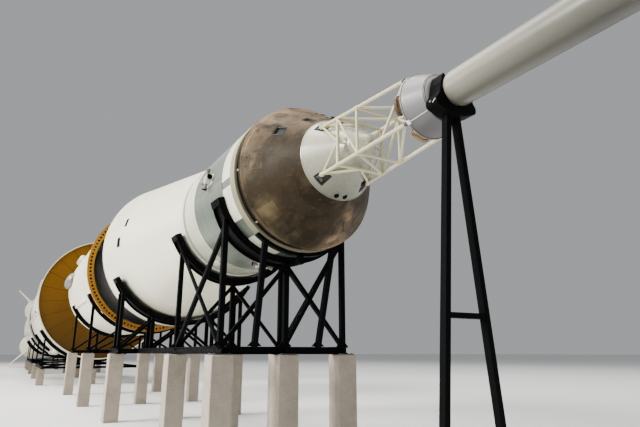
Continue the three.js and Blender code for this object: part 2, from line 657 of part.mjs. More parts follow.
// Cradles: saddles on posts, cross beams and braces, long base rails and concrete piers
const RAIL_TOP = -440; // under the narrow sections, from the axis
const LOW_RAIL_TOP = -560; // under the wide stages
const RAIL = 14;
const POST = 14;
const BRACE = 8;
const PIER_HALF = 28;

// One trestle: a saddle, and at each of its frames a cross beam, posts and braces. A brace runs
// from the foot of an outer post to the top of the next one inwards.
function trestle({ from, to, r, thick, saddleAngle, posts, frames, railTop }) {
  const top = (y) => -Math.sqrt((r + 2) ** 2 - Math.max(Math.abs(y) - POST / 2, 0) ** 2);
  const frame = (x) => [
    posts.map((y) => bar(vec(x, y, railTop - 6), vec(x, y, top(y)), POST)),
    box(x - RAIL / 2, x + RAIL / 2, posts[0], posts[posts.length - 1], railTop - RAIL + 1, railTop - 1),
    posts.filter((y) => y !== 0).map((y) => {
      const inner = posts[posts.indexOf(y) - Math.sign(y)];
      return bar(vec(x, y, railTop - 3), vec(x, inner, top(inner) - 12), BRACE);
    }),
  ];
  return [saddle(from, to, r + GAP, thick, saddleAngle), frames.map(frame)];
}

const rails = (x0, x1, ys, railTop) =>
  ys.map((y) => box(x0, x1, y - RAIL / 2, y + RAIL / 2, railTop - RAIL, railTop));

const piers = (xs, ys, railTop) =>
  xs.flatMap((x) => ys.map((y) => box(x - PIER_HALF, x + PIER_HALF, y - PIER_HALF, y + PIER_HALF,
    -AXIS_HEIGHT, railTop - RAIL + 1)));

// Diagonal braces that cross between two stations in a side plane.
const sideBraces = (x0, x1, y, low, high) => [
  bar(vec(x0, y, low), vec(x1, y, high), BRACE, BRACE, Y_AXIS),
  bar(vec(x0, y, high), vec(x1, y, low), BRACE, BRACE, Y_AXIS),
];

const NARROW_POSTS = [-178, 0, 178];

// The adapter's radius grows by this much for each millimetre towards the tail.
const ADAPTER_SLOPE = (THIRD_R - CRAFT_R) / (AT.adapterFront - AT.adapterEnd);
const adapterRadius = (x) => CRAFT_R + (AT.adapterFront - x) * ADAPTER_SLOPE;

function craftCradle() {
  const common = { posts: NARROW_POSTS, railTop: RAIL_TOP };
  const front = -42;
  return join(
    trestle({ ...common, from: -186, to: -112, r: CRAFT_R, thick: 10, saddleAngle: 100,
      frames: [-122, -176] }),
    trestle({ ...common, from: -557, to: -500, r: adapterRadius(-557), thick: 12,
      saddleAngle: 109, frames: [-528] }),
    [-112, 112].map((y) => bar(vec(front, y, RAIL_TOP - 6), vec(front, y, -166), POST)),
    saddle(front - 7, front + 7, CRAFT_R + GAP, 6, 142, 4),
    box(front - 7, front + 7, -178, 178, RAIL_TOP - RAIL + 1, RAIL_TOP - 1),
    [-178, 178].map((y) => sideBraces(-176, -528, y, RAIL_TOP - 4, -112)),
    rails(-570, -30, NARROW_POSTS, RAIL_TOP),
    piers([-80, -528], NARROW_POSTS, RAIL_TOP),
  );
}

function adapterCradle() {
  const posts = [-255, -128, 0, 128, 255];
  const [from, to] = [-1200, -1098];
  return join(
    trestle({ from, to, r: adapterRadius(from), thick: 12, saddleAngle: 116, posts,
      frames: [to - 12, from + 12], railTop: RAIL_TOP }),
    rails(-1230, -570 - GAP, NARROW_POSTS, RAIL_TOP),
    rails(from, to, [posts[0], posts[4]], RAIL_TOP),
    piers([(from + to) / 2], [posts[0], 0, posts[4]], RAIL_TOP),
  );
}

function thirdCradle() {
  const posts = [-280, -140, 0, 140, 280];
  const common = { r: THIRD_R, thick: 12, saddleAngle: 117, posts, railTop: RAIL_TOP };
  return join(
    trestle({ ...common, from: -1890, to: -1830, frames: [-1860] }),
    trestle({ ...common, from: -2740, to: -2680, frames: [-2710] }),
    rails(-2800, -1230 - GAP, NARROW_POSTS, RAIL_TOP),
    piers([-1860, -2710], [-280, 0, 280], RAIL_TOP),
  );
}

function wideCradle(stations, x0, x1) {
  const posts = [-400, 0, 400];
  const common = { r: STAGE_R, thick: 16, saddleAngle: 122, posts, railTop: LOW_RAIL_TOP };
  return join(
    stations.map((x) => trestle({ ...common, from: x - 50, to: x + 50, frames: [x] })),
    rails(x0, x1, [-400, 0, 400], LOW_RAIL_TOP),
    piers(stations, [-400, 0, 400], LOW_RAIL_TOP),
  );
}

// The stand under the escape motor: a yoke round the neck on two spread legs with a cross bar.
function escapeStand() {
  const [from, to] = [AT.skirtStep + 7, AT.tubeStart - 2];
  const middle = (from + to) / 2;
  const tray = -NECK_R - 14;
  const legTop = 10;
  const legFoot = 72;
  const spread = (z) => legTop + ((legFoot - legTop) * (tray - z)) / (tray + AXIS_HEIGHT);
  const foot = -AXIS_HEIGHT + 8;
  const parts = [
    saddle(from, to, NECK_R + GAP, 8, 82, 10),
    box(from, to, -34, 34, tray - 8, -NECK_R - 5),
    box(from, to, -39, -31, tray - 8, -4), box(from, to, 31, 39, tray - 8, -4),
    [-1, 1].map((side) => bar(vec(middle, side * legTop, tray - 6),
      vec(middle, side * legFoot, foot), 16, 13)),
    bar(vec(middle, -spread(-390), -390), vec(middle, spread(-390), -390), 12, 9),
    box(middle - 60, middle + 60, -92, -52, -AXIS_HEIGHT, foot),
    box(middle - 60, middle + 60, 52, 92, -AXIS_HEIGHT, foot),
    box(middle - 10, middle + 10, -60, 60, -AXIS_HEIGHT, foot),
  ];
  return join(parts);
}

add("stand_escape", escapeStand(), STEEL);
add("cradle_craft", craftCradle(), STEEL);
add("cradle_adapter", adapterCradle(), STEEL);
add("cradle_stage3", thirdCradle(), STEEL);
add("cradle_stage2", wideCradle([-3900, -5200], -5300, -3800), STEEL);
add("cradle_stage1", wideCradle([-6640, -8300, -9300], -9380, -6560), STEEL);

// The origin is on the floor under the middle of the whole length.
const tail = AT.firstGimbal - BIG_ENGINE.exitAt;
rocket.position.set(-(AT.noseTip + tail) / 2, 0, AXIS_HEIGHT);

export default rocket;
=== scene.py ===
"""Surfaces, finishes, light and camera for a three-stage moon rocket that lies on display cradles.

The plain solids are the frame. Each one is covered or replaced by a finished piece that is worked out
here with numpy. Places are stations: metres along the rocket's axis from the capsule's base, with the
axis as the middle. An angle round the axis is 0 at the top and grows towards -Y.
"""
import sys

import json
from math import cos, pi, radians, sin, sqrt, tan

import bpy
import numpy as np
from mathutils import Vector
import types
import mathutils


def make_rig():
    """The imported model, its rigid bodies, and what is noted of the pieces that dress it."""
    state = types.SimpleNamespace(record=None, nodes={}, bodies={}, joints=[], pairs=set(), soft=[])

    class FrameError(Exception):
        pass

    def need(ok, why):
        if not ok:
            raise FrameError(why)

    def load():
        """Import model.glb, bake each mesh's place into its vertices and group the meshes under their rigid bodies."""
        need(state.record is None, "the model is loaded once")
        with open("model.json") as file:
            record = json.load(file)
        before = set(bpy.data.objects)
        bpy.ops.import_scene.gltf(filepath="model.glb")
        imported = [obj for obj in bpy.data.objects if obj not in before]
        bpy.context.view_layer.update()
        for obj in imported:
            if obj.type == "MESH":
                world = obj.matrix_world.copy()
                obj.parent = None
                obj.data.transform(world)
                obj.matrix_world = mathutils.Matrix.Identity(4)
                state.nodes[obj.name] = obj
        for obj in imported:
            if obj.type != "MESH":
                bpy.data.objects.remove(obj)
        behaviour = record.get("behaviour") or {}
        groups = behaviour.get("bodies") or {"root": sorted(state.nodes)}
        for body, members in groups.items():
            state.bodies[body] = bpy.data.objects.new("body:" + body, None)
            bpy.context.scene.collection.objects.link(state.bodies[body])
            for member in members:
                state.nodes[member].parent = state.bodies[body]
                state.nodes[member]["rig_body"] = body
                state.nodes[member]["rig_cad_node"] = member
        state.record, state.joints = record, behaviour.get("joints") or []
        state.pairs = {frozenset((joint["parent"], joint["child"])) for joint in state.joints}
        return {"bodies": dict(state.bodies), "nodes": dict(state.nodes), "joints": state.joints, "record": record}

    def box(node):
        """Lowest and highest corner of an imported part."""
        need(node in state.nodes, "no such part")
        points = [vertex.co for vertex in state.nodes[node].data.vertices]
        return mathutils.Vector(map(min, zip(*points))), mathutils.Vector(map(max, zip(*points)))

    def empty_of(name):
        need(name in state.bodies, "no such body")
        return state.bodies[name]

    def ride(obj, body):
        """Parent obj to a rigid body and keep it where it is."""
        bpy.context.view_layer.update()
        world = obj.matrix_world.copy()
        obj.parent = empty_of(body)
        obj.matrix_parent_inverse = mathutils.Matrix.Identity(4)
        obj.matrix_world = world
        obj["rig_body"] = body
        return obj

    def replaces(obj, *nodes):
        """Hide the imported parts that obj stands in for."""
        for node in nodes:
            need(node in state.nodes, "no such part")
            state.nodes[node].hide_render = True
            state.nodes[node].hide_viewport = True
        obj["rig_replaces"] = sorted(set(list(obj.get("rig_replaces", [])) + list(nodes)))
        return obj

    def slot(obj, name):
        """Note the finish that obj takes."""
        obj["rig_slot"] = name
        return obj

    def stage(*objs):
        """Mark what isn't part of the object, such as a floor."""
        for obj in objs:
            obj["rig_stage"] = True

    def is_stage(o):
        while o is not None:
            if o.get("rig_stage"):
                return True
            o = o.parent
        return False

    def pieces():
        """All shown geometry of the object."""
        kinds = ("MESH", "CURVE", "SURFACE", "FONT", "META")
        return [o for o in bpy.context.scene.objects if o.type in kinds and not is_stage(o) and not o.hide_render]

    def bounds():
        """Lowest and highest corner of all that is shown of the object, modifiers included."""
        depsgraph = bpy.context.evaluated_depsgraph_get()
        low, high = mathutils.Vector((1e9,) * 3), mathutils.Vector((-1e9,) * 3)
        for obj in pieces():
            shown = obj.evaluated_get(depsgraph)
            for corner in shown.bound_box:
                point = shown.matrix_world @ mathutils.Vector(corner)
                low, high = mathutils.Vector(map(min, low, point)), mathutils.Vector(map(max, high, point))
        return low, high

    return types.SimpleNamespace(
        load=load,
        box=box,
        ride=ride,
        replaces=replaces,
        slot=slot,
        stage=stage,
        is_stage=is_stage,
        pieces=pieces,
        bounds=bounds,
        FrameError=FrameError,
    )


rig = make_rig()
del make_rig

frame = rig.load()
CAD_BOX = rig.bounds()

bl_info = {
    "name": "Moon Rocket Surfaces",
    "version": (1, 0, 0),
    "blender": (4, 5, 0),
    "location": "View3D > Sidebar > Rocket",
    "description": "Covers the plain solids of a displayed moon rocket with finished pieces",
    "category": "Object",
}

SIZE_FILE = "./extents.json"


def span(node):
    """A node's rear and front stations."""
    low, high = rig.box(node)
    return low.x - BASE_X, high.x - BASE_X


def radius_of(node):
    """Half the height of a node that is round about the axis."""
    low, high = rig.box(node)
    return (high.z - low.z) / 2


# The frame's own places and sizes
BASE_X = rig.box("capsule_cone")[0].x - 0.003
AXIS_Z = (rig.box("escape_motor")[0].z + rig.box("escape_motor")[1].z) / 2
ORIGIN = np.array([BASE_X, 0.0, AXIS_Z])
STAGE_R = radius_of("stage1_fuel_tank")
THIRD_R = radius_of("stage3_tank")
CRAFT_R = radius_of("service_front_ring")
TUBE_R = radius_of("escape_motor")
CONE_ANGLE = radians(33)
DIAGONALS = (45, 135, 225, 315)
MERGE = 1e-6
SMOOTH_BELOW = radians(38)
X, Y, Z = np.eye(3)
UPRIGHT = (Z, X, Y)
PAIR = (-1, 1)


def cone_radius(x):
    """The capsule's outside radius at a station."""
    return CRAFT_R - x * tan(CONE_ANGLE)


# Shapes: each is a pair, points (n, 3) and faces (m, 4) that index them, closed and facing out.


def finished(points, quads, group=None):
    """Merges points that coincide within a group, drops the unused ones and turns the faces out.

    The faces point out where the sum of the volumes under them is positive."""
    points = np.asarray(points, float).reshape(-1, 3)
    if group is None:
        group = np.zeros(len(points))
    key = np.column_stack([np.round(points / MERGE), group]).astype(np.int64)
    _, first, index = np.unique(key, axis=0, return_index=True, return_inverse=True)
    used, compact = np.unique(index.reshape(-1)[quads], return_inverse=True)
    points, quads = points[first][used], compact.reshape(-1, 4)
    a, b, c, d = (points[quads[:, k]] for k in range(4))
    volume = np.einsum("ij,ij->", a, np.cross(b, c)) + np.einsum("ij,ij->", a, np.cross(c, d))
    return points, quads if volume > 0 else quads[:, ::-1]


def copies(points, quads):
    """Several solids, points (count, n, 3), that all have the same faces."""
    count, size = points.shape[:2]
    each = np.arange(count)
    return finished(points, (quads + size * each[:, None, None]).reshape(-1, 4), np.repeat(each, size))


def grid_faces(rows, columns, wrap=True):
    """The faces of a grid of rows by columns, whose last column meets the first if wrap is set."""
    index = np.arange(rows * columns).reshape(rows, columns)
    following = np.roll(index, -1, axis=1) if wrap else index[:, 1:]
    here = index if wrap else index[:, :-1]
    return np.stack([here[:-1], here[1:], following[1:], following[:-1]], axis=-1).reshape(-1, 4)


def around(x, r, degrees):
    """Points at stations, radii and angles: Y is minus r times the sine, Z is r times the cosine."""
    x, r, t = np.broadcast_arrays(np.asarray(x, float), np.asarray(r, float), np.radians(degrees))
    return np.stack([x, -r * np.sin(t), r * np.cos(t)], axis=-1)


def lathe(profile, sides=96, ripple=None):
    """A profile of (station, radius) turned about the axis: radius r at angle t, for all t.

    ripple is a pair, the height for each profile point and the waves round the axis, and adds
    height times the absolute cosine of half the waves times t to the radius."""
    x, r = np.asarray(profile, float).T[:, :, None]
    t = np.linspace(0, 360, sides, endpoint=False)
    if ripple:
        heights, waves = ripple
        r = r + np.outer(heights, np.abs(np.cos(np.radians(t) * waves / 2)))
    return finished(around(x, r, t), grid_faces(len(x), sides))


def hoop(profile, sides=96):
    """A closed outline of (station, radius) turned about the axis."""
    return lathe([*profile, profile[0]], sides)


def ring(x0, x1, inner, outer, sides=96):
    """A band of square section round the axis."""
    return hoop([(x0, inner), (x0, outer), (x1, outer), (x1, inner)], sides)


def rings(stations, wide, inner, outer, sides=96):
    """Equal bands, each with its rear at a station."""
    return [ring(x, x + wide, inner, outer, sides) for x in stations]


def wall(stations, angles, outer, inner, keep=None, wrap=False):
    """A curved wall between two radii over a grid of stations and angles.

    Each kept cell has an outside and an inside face, and an edge face wherever its neighbour isn't
    kept, so that a window is a group of cells that aren't kept."""
    stations, angles, outer, inner = np.broadcast_arrays(stations, angles, outer, inner)
    rows, columns = stations.shape
    points = np.concatenate([around(stations, outer, angles), around(stations, inner, angles)])
    cells = grid_faces(rows, columns, wrap).reshape(rows - 1, -1, 4)
    if keep is None:
        keep = np.ones(cells.shape[:2], bool)
    under = rows * columns
    faces = [cells[keep], cells[keep][:, ::-1] + under]
    ahead, behind = np.pad(keep[1:], ((0, 1), (0, 0))), np.pad(keep[:-1], ((1, 0), (0, 0)))
    right = np.roll(keep, -1, 1) if wrap else np.pad(keep[:, 1:], ((0, 0), (0, 1)))
    left = np.roll(keep, 1, 1) if wrap else np.pad(keep[:, :-1], ((0, 0), (1, 0)))
    for neighbour, p, q in ((left, 0, 1), (ahead, 1, 2), (right, 2, 3), (behind, 3, 0)):
        edge = cells[keep & ~neighbour]
        a, b = edge[:, p], edge[:, q]
        faces.append(np.stack([b, a, a + under, b + under], axis=1))
    return finished(points, np.concatenate(faces))


def panel(x0, x1, a0, a1, radius, thick, sink=0.0, columns=None):
    """A curved plate that stands thick above a surface of revolution and sinks below it.

    radius is a number, or a function that gives the surface's radius at a station."""
    columns = columns or max(2, int(abs(a1 - a0) / 3) + 2)
    stations = np.linspace(x0, x1, 7 if callable(radius) else 2)[:, None]
    r = radius(stations) if callable(radius) else radius
    return wall(stations, np.linspace(a0, a1, columns), r + thick, r - sink)


def outline_strips(x0, x1, a0, a1, radius, thick, width):
    """The four thin strips round the edge of a plate on a surface of revolution."""
    turn = np.degrees(width / radius((x0 + x1) / 2))
    sides = ((x0, x0 + width, a0, a1), (x1 - width, x1, a0, a1), (x0, x1, a0, a0 + turn),
             (x0, x1, a1 - turn, a1))
    return [panel(*side, radius, thick) for side in sides]


def unit(vectors):
    """Vectors cut to a length of one."""
    return vectors / np.linalg.norm(vectors, axis=-1, keepdims=True)


def crosswise(along, helper=None):
    """Two unit vectors square to each given direction."""
    along = unit(np.asarray(along, float))
    if helper is None:
        helper = np.where(np.abs(along[..., 2:]) < 0.9, Z, X)
    first = unit(np.cross(along, helper))
    return first, np.cross(along, first)


def circles(along, sides, helper=None):
    """For each direction, the points of the unit circle square to it."""
    first, second = crosswise(along, helper)
    t = np.linspace(0, 2 * pi, sides, endpoint=False)[:, None]
    return first[:, None] * np.cos(t) + second[:, None] * np.sin(t)


def rods(starts, ends, radius, sides=14):
    """Round rods between pairs of points: a circle carried from each start to its end."""
    starts, ends = (np.atleast_2d(p).astype(float)[:, None] for p in (starts, ends))
    circle = circles((ends - starts)[:, 0], sides) * radius
    rows = [starts + 0 * circle, starts + circle, ends + circle, ends + 0 * circle]
    return copies(np.concatenate(rows, axis=1), grid_faces(4, sides))


def pipe(path, radius, sides=12):
    """A circle carried along a curve through the given points, with flat ends."""
    path = np.asarray(path, float)
    along = unit(np.gradient(path, axis=0))
    helper = np.eye(3)[np.argmin(np.abs(along).mean(axis=0))]
    points = path[:, None] + circles(along, sides, helper) * radius
    whole = [np.repeat(path[:1, None], sides, 1), points, np.repeat(path[-1:, None], sides, 1)]
    return finished(np.concatenate(whole), grid_faces(len(path) + 2, sides))


def duct(radius, sides, *knots):
    """A pipe along a smooth curve through the knots: each span is a cubic set by its neighbours."""
    knots = np.asarray(knots, float)
    ends = np.concatenate([2 * knots[:1] - knots[1:2], knots, 2 * knots[-1:] - knots[-2:-1]])
    t = np.linspace(0, 1, 16, endpoint=False)[None, :, None]
    a, b, c, d = (ends[k : len(ends) - 3 + k][:, None] for k in range(4))
    spans = b + 0.5 * t * (c - a + t * (2 * a - 5 * b + 4 * c - d + t * (3 * (b - c) + d - a)))
    return pipe(np.concatenate([spans.reshape(-1, 3), knots[-1:]]), radius, sides)


def blocks(centres, halves, axes=None):
    """Boxes given by their centres, half sizes and, if turned, their own three axes."""
    centres, halves = np.atleast_2d(centres).astype(float), np.atleast_2d(halves).astype(float)
    axes = np.broadcast_to(np.eye(3) if axes is None else axes, (len(centres), 3, 3))
    corner = np.array([(a, b, c) for a in PAIR for b in PAIR for c in PAIR], float)
    points = centres[:, None] + np.einsum("nkj,njl->nkl", corner * halves[:, None], axes)
    sides = [(0, 1, 3, 2), (4, 6, 7, 5), (0, 4, 5, 1), (2, 3, 7, 6), (0, 2, 6, 4), (1, 5, 7, 3)]
    return copies(points, np.array(sides))


def box(x0, x1, y0, y1, z0, z1):
    """One box between two corners."""
    low, high = np.array([x0, y0, z0]), np.array([x1, y1, z1])
    return blocks((low + high) / 2, (high - low) / 2)


def bars(starts, ends, width, height, side=X):
    """Square bars between pairs of points, with their width along the side direction."""
    starts, ends = np.atleast_2d(starts).astype(float), np.atleast_2d(ends).astype(float)
    along = unit(ends - starts)
    length = np.linalg.norm(ends - starts, axis=1, keepdims=True)
    other = unit(np.cross(along, side))
    halves = np.hstack([length, 0 * length + width, 0 * length + height]) / 2
    return blocks((starts + ends) / 2, halves, np.stack([along, np.cross(other, along), other], axis=1))


def spars(start, end, width, height, angles, spot=0):
    """Square bars from one (station, radius) to another, at several angles round the axis or a spot."""
    return [bars(around(*start, a) + spot, around(*end, a) + spot, width, height,
                 np.cross(X, around(0, 1, a))) for a in angles]


def carried(shape, axes, place=(0, 0, 0)):
    """A shape, or each of a list, moved from its own frame: X, Y and Z become the rows of axes."""
    if isinstance(shape, list):
        return [carried(one, axes, place) for one in shape]
    points, quads = shape
    return points @ np.asarray(axes, float) + np.asarray(place, float), quads


def moved(shape, *places):
    """A shape, or a list of them, moved to each place."""
    return [carried(shape, np.eye(3), place) for place in places]


def standing(degrees, slope):
    """Axes for a thing on the rocket's side: X along the surface to the nose, Z out of it."""
    a = radians(degrees)
    out, across = np.array([0.0, -sin(a), cos(a)]), np.array([0.0, -cos(a), -sin(a)])
    return X * cos(slope) - out * sin(slope), -across, out * cos(slope) + X * sin(slope)


def on_side(shape, x, r, angles, slope=0.0):
    """A shape carried to each angle on the rocket's side, its own Z standing out of the surface."""
    return [carried(shape, standing(a, slope), around(x, r, a)) for a in np.atleast_1d(angles)]


def on_cone(shape, x, angles):
    """A shape carried to the capsule's wall, its own X up the slope and its Z out of the wall."""
    return on_side(shape, x, cone_radius(x), angles, CONE_ANGLE)


def loft(sections):
    """A solid through closed sections of equally many points, with ends closed to their middles."""
    sections = np.asarray(sections, float)
    count = sections.shape[1]
    near, far = (np.repeat(part.mean(axis=0)[None, None], count, 1) for part in sections[[0, -1]])
    points = np.concatenate([near, sections, far])
    return finished(points, grid_faces(len(points), count))


def prism(outline, *heights):
    """A flat outline of (x, y) points carried up through heights along Z."""
    return loft([[(x, y, z) for x, y in outline] for z in heights])


def groove(x, r, half=0.0006, depth=0.0006, share=0.6):
    """Profile points of a small groove, for a profile that runs towards the nose."""
    return [(x - half, r), (x - half * share, r - depth), (x + half * share, r - depth), (x + half, r)]


def disc(r, height, sides=20):
    """A short round pad that stands on the XY plane, with its edge rounded off."""
    profile = [(0, 0), (0, r), (height * 0.7, r), (height, r * 0.92), (height, 0)]
    return carried(lathe(profile, sides), UPRIGHT)


def ball(centre, r, sides=20):
    """A sphere: a half circle turned about X and carried to its centre."""
    half = [(-r * cos(t), r * sin(t) if 0 < t < pi else 0) for t in np.linspace(0, pi, 11)]
    return carried(lathe(half, sides), np.eye(3), centre)


def nozzle(length, throat, mouth, thick, sides=28):
    """A small flared nozzle along X from a stub at 0, hollow from its mouth."""
    outer = [(t * length, throat + (mouth - throat) * t**1.3) for t in np.linspace(0, 1, 9)]
    inner = [(x, r - thick) for x, r in outer[:1:-1]]
    return lathe([(0, 0), *outer, *inner, (inner[-1][0], 0)], sides)


def spread(count, start=0.0):
    """Equally spaced angles round the axis."""
    return start + np.arange(count) * 360 / count


# Pieces


def flat_list(shapes):
    """A list of shapes out of a nest of lists of shapes."""
    if isinstance(shapes, tuple):
        return [shapes]
    return [shape for part in shapes for shape in flat_list(part)]


def piece(name, shapes, finish, bevel=0.0, body="root", node=None, slot=None):
    """Makes the object: a face with two corners in one place becomes a triangle.

    It stands for the node of its own name, or for the one that is named. Its slot is its finish's."""
    if name in frame["nodes"]:
        name, node = f"{name}_surface", name
    shapes = flat_list(shapes)
    starts = np.cumsum([0] + [len(points) for points, _ in shapes[:-1]])
    points = np.concatenate([points for points, _ in shapes]) + ORIGIN
    quads = np.concatenate([faces + start for (_, faces), start in zip(shapes, starts)])
    distinct = quads != np.roll(quads, 1, axis=1)
    real = distinct.sum(axis=1) > 2
    quads, distinct = quads[real], distinct[real]
    corners = quads[distinct].astype(np.int32)
    sizes = distinct.sum(axis=1)
    mesh = bpy.data.meshes.new(name)
    mesh.vertices.add(len(points))
    mesh.vertices.foreach_set("co", points.astype(np.float32).ravel())
    mesh.loops.add(len(corners))
    mesh.loops.foreach_set("vertex_index", corners)
    mesh.polygons.add(len(sizes))
    mesh.polygons.foreach_set("loop_start", (np.cumsum(sizes) - sizes).astype(np.int32))
    mesh.update(calc_edges=True)
    mesh.validate()
    mesh.shade_smooth()
    mesh.set_sharp_from_angle(angle=SMOOTH_BELOW)
    mesh.materials.append(paint(finish))
    made = bpy.data.objects.new(name, mesh)
    bpy.context.scene.collection.objects.link(made)
    if bevel:
        edge = made.modifiers.new("Edges", "BEVEL")
        edge.width, edge.segments = bevel, 2
        edge.limit_method, edge.angle_limit = "ANGLE", SMOOTH_BELOW
    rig.ride(made, body)
    if node:
        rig.replaces(made, node)
    slot = slot or FINISHES[finish][0]
    if slot:
        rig.slot(made, slot)


# Finishes


class Recipe:
    """One material's nodes, from a pattern on Object coordinates to the surface's shader."""

    def __init__(self, name, color, roughness, metallic=0, coat=0, specular=0.5):
        self.material = bpy.data.materials.new(name)
        self.material.use_nodes = True
        self.tree = self.material.node_tree
        self.shader = self.tree.nodes["Principled BSDF"]
        self.set(Base_Color=(*color, 1), Roughness=roughness, Metallic=metallic, Coat_Weight=coat,
                 Specular_IOR_Level=specular)
        self.place = self.add("TexCoord").outputs["Object"]
        self.color = color

    def set(self, **values):
        for socket, value in values.items():
            self.feed(self.shader.inputs[socket.replace("_", " ")], value)

    def feed(self, socket, value):
        if isinstance(value, bpy.types.NodeSocket):
            self.tree.links.new(value, socket)
        else:
            socket.default_value = value

    def add(self, kind, inputs=(), **settings):
        node = self.tree.nodes.new(f"ShaderNode{kind}")
        for key, value in settings.items():
            setattr(node, key, value)
        for key, value in dict(inputs).items():
            self.feed(node.inputs[key], value)
        return node

    def along(self, axis):
        """The place's part along one axis."""
        return self.add("SeparateXYZ", {"Vector": self.place}).outputs[axis]

    def noise(self, scale, detail=4, rough=0.55, warp=0, stretch=None):
        """Noise, which runs long on the axes where stretch is small."""
        place = self.place
        if stretch:
            place = self.add("Mapping", {"Vector": place, "Scale": stretch}).outputs["Vector"]
        settings = {"Vector": place, "Scale": scale, "Detail": detail, "Roughness": rough,
                    "Distortion": warp}
        return self.add("TexNoise", settings).outputs["Fac"]

    def sum(self, first, *others):
        for other in others:
            first = self.add("Math", {0: first, 1: other}, operation="ADD").outputs[0]
        return first

    def vector(self, operation, first, second=(0, 0, 0)):
        return self.add("VectorMath", {0: first, 1: second}, operation=operation)

    def ramp(self, factor, low, high, first=0, last=1):
        """A factor stretched so that low becomes first and high becomes last."""
        return self.add("MapRange", {"Value": factor, "From Min": low, "From Max": high,
                                     "To Min": first, "To Max": last}).outputs["Result"]

    def stain(self, pattern, low, high, share, other):
        """Lays another colour over the present one, up to a share where the pattern reaches high."""
        colors = (v if isinstance(v, bpy.types.NodeSocket) else (*v, 1) for v in (self.color, other))
        inputs = dict(zip((0, 6, 7), (self.ramp(pattern, low, high, 0, share), *colors)))
        self.color = self.add("Mix", inputs, data_type="RGBA", blend_type="MIX").outputs[2]
        self.set(Base_Color=self.color)

    def shade_below(self, low):
        """Painted shade: turns the colour into another one from an upper to a lower height over the axis."""
        if low:
            below, z0, z1 = low
            self.stain(self.along("Z"), AXIS_Z + z1, AXIS_Z + z0, 1, tone(below))

    def bump(self, height, distance, strength=0.5):
        """Bumps on top of those that the recipe has already."""
        inputs = {"Height": height, "Distance": distance, "Strength": strength}
        normal = self.shader.inputs["Normal"]
        if normal.is_linked:
            inputs["Normal"] = normal.links[0].from_socket
        self.set(Normal=self.add("Bump", inputs).outputs["Normal"])

    def gloss(self, pattern, low, high, last=0.7):
        """Roughness that a pattern moves between two values."""
        self.set(Roughness=self.ramp(pattern, 0.3, last, low, high))


BLACK, LIT = (0, 0, 0), (1, 1, 1)


def times(color, share):
    """A colour times a share."""
    return tuple(channel * share for channel in color)


def tone(color):
    """A colour: three numbers, or one of the user's colours by its name, and a share of it."""
    if not isinstance(color[0], str):
        return color
    name, share = color
    return times(getattr(bpy.context.scene.rocket_finish, name), share)


def enamel(name, color, roughness=0.34, grime=0.85, coat=0.1, low=None, ahead=None):
    """Sprayed paint: slow changes of tone, faint runs down the side, dull spots and fine texture.

    ahead is a share by which the colour darkens between two stations, a painted shade; low gives a painted shade
    towards the bottom."""
    recipe = Recipe(name, color, roughness, coat=coat)
    # Painted shade: darker towards the bottom when low is given.
    recipe.shade_below(low)
    # Painted shade: darker towards the nose between two stations when ahead is given.
    if ahead:
        share, x0, x1 = ahead
        recipe.stain(recipe.along("X"), BASE_X + x0, BASE_X + x1, share, BLACK)
    recipe.stain(recipe.noise(1.7, 3, 0.5), 0.35, 0.7, 0.05, BLACK)
    recipe.stain(recipe.noise(9, 5, 0.6, stretch=(1, 1, 0.12)), 0.55, 0.8, 0.4 * (1 - grime), BLACK)
    recipe.gloss(recipe.noise(26), roughness - 0.06, roughness + 0.08)
    recipe.bump(recipe.noise(220, 2), 0.00015)
    return recipe.material


def scorched(name, brown, tint=1):
    """Burnt heat shield film: tan near the rim, dark brown elsewhere, and tan towards the top and along a streak,
    which are a painted highlight and a painted reflection.
    """
    tan_tone, streak_angle = tone(("shield_tan", tint)), radians(200)
    recipe = Recipe(name, brown, 0.5, specular=0.14)
    rim = recipe.ramp(recipe.along("X"), BASE_X + 0.003, BASE_X + 0.05, 0.36, 0)
    # Painted highlight: the tan grows towards the top.
    top = recipe.ramp(recipe.along("Z"), AXIS_Z - 0.03, AXIS_Z + 0.195, -0.14, 0.98)
    flat = recipe.vector("SUBTRACT", recipe.place, (BASE_X, 0, AXIS_Z)).outputs[0]
    flat = recipe.vector("MULTIPLY", flat, (0, 1, 1)).outputs[0]
    out = recipe.vector("NORMALIZE", flat).outputs[0]
    # Painted reflection: a soft tan streak along one angle round the axis.
    streak = recipe.vector("DOT_PRODUCT", out, (0, -sin(streak_angle), cos(streak_angle))).outputs["Value"]
    wide, blots = recipe.noise(7, 5, warp=0.5), recipe.noise(19, 6, 0.65, 0.9)
    fine = recipe.noise(85, 5, 0.7)
    share = recipe.sum(rim, top, recipe.ramp(wide, 0.36, 0.64, -0.36, 0.3),
                       recipe.ramp(streak, 0.955, 1, 0, 0.5))
    recipe.color = times(brown, tint)
    recipe.stain(share, 0, 1, 1, tan_tone)
    recipe.stain(blots, 0.46, 0.64, 0.85, times(brown, 0.5 * tint))
    recipe.stain(recipe.noise(12), 0.52, 0.7, 0.4, times((0.13, 0.108, 0.055), tint))
    recipe.stain(fine, 0.55, 0.78, 0.3, times(tan_tone, 0.7))
    recipe.gloss(blots, 0.5, 0.7, 0.75)
    recipe.bump(fine, 0.0004, 0.45)
    recipe.bump(recipe.noise(16), 0.0014, 0.4)
    return recipe.material


def skin_metal(name, color, roughness=0.38, metallic=0.55, low=None):
    """Rolled aluminium: fine lines round the axis, patches of tone, soft dents and, when low is given, painted shade
    towards the bottom.
    """
    recipe = Recipe(name, color, roughness, metallic)
    lines = recipe.noise(180, 3, 0.6, stretch=(1, 0.05, 0.05))
    patches = recipe.noise(4.5, rough=0.6)
    # Painted shade: darker towards the bottom when low is given.
    recipe.shade_below(low)
    recipe.stain(patches, 0.35, 0.7, 0.2, BLACK)
    recipe.stain(lines, 0.4, 0.7, 0.06, LIT)
    recipe.gloss(patches, roughness - 0.1, roughness + 0.1)
    recipe.bump(recipe.noise(7, 2), 0.002, 0.35)
    recipe.bump(lines, 0.0001, 0.4)
    return recipe.material


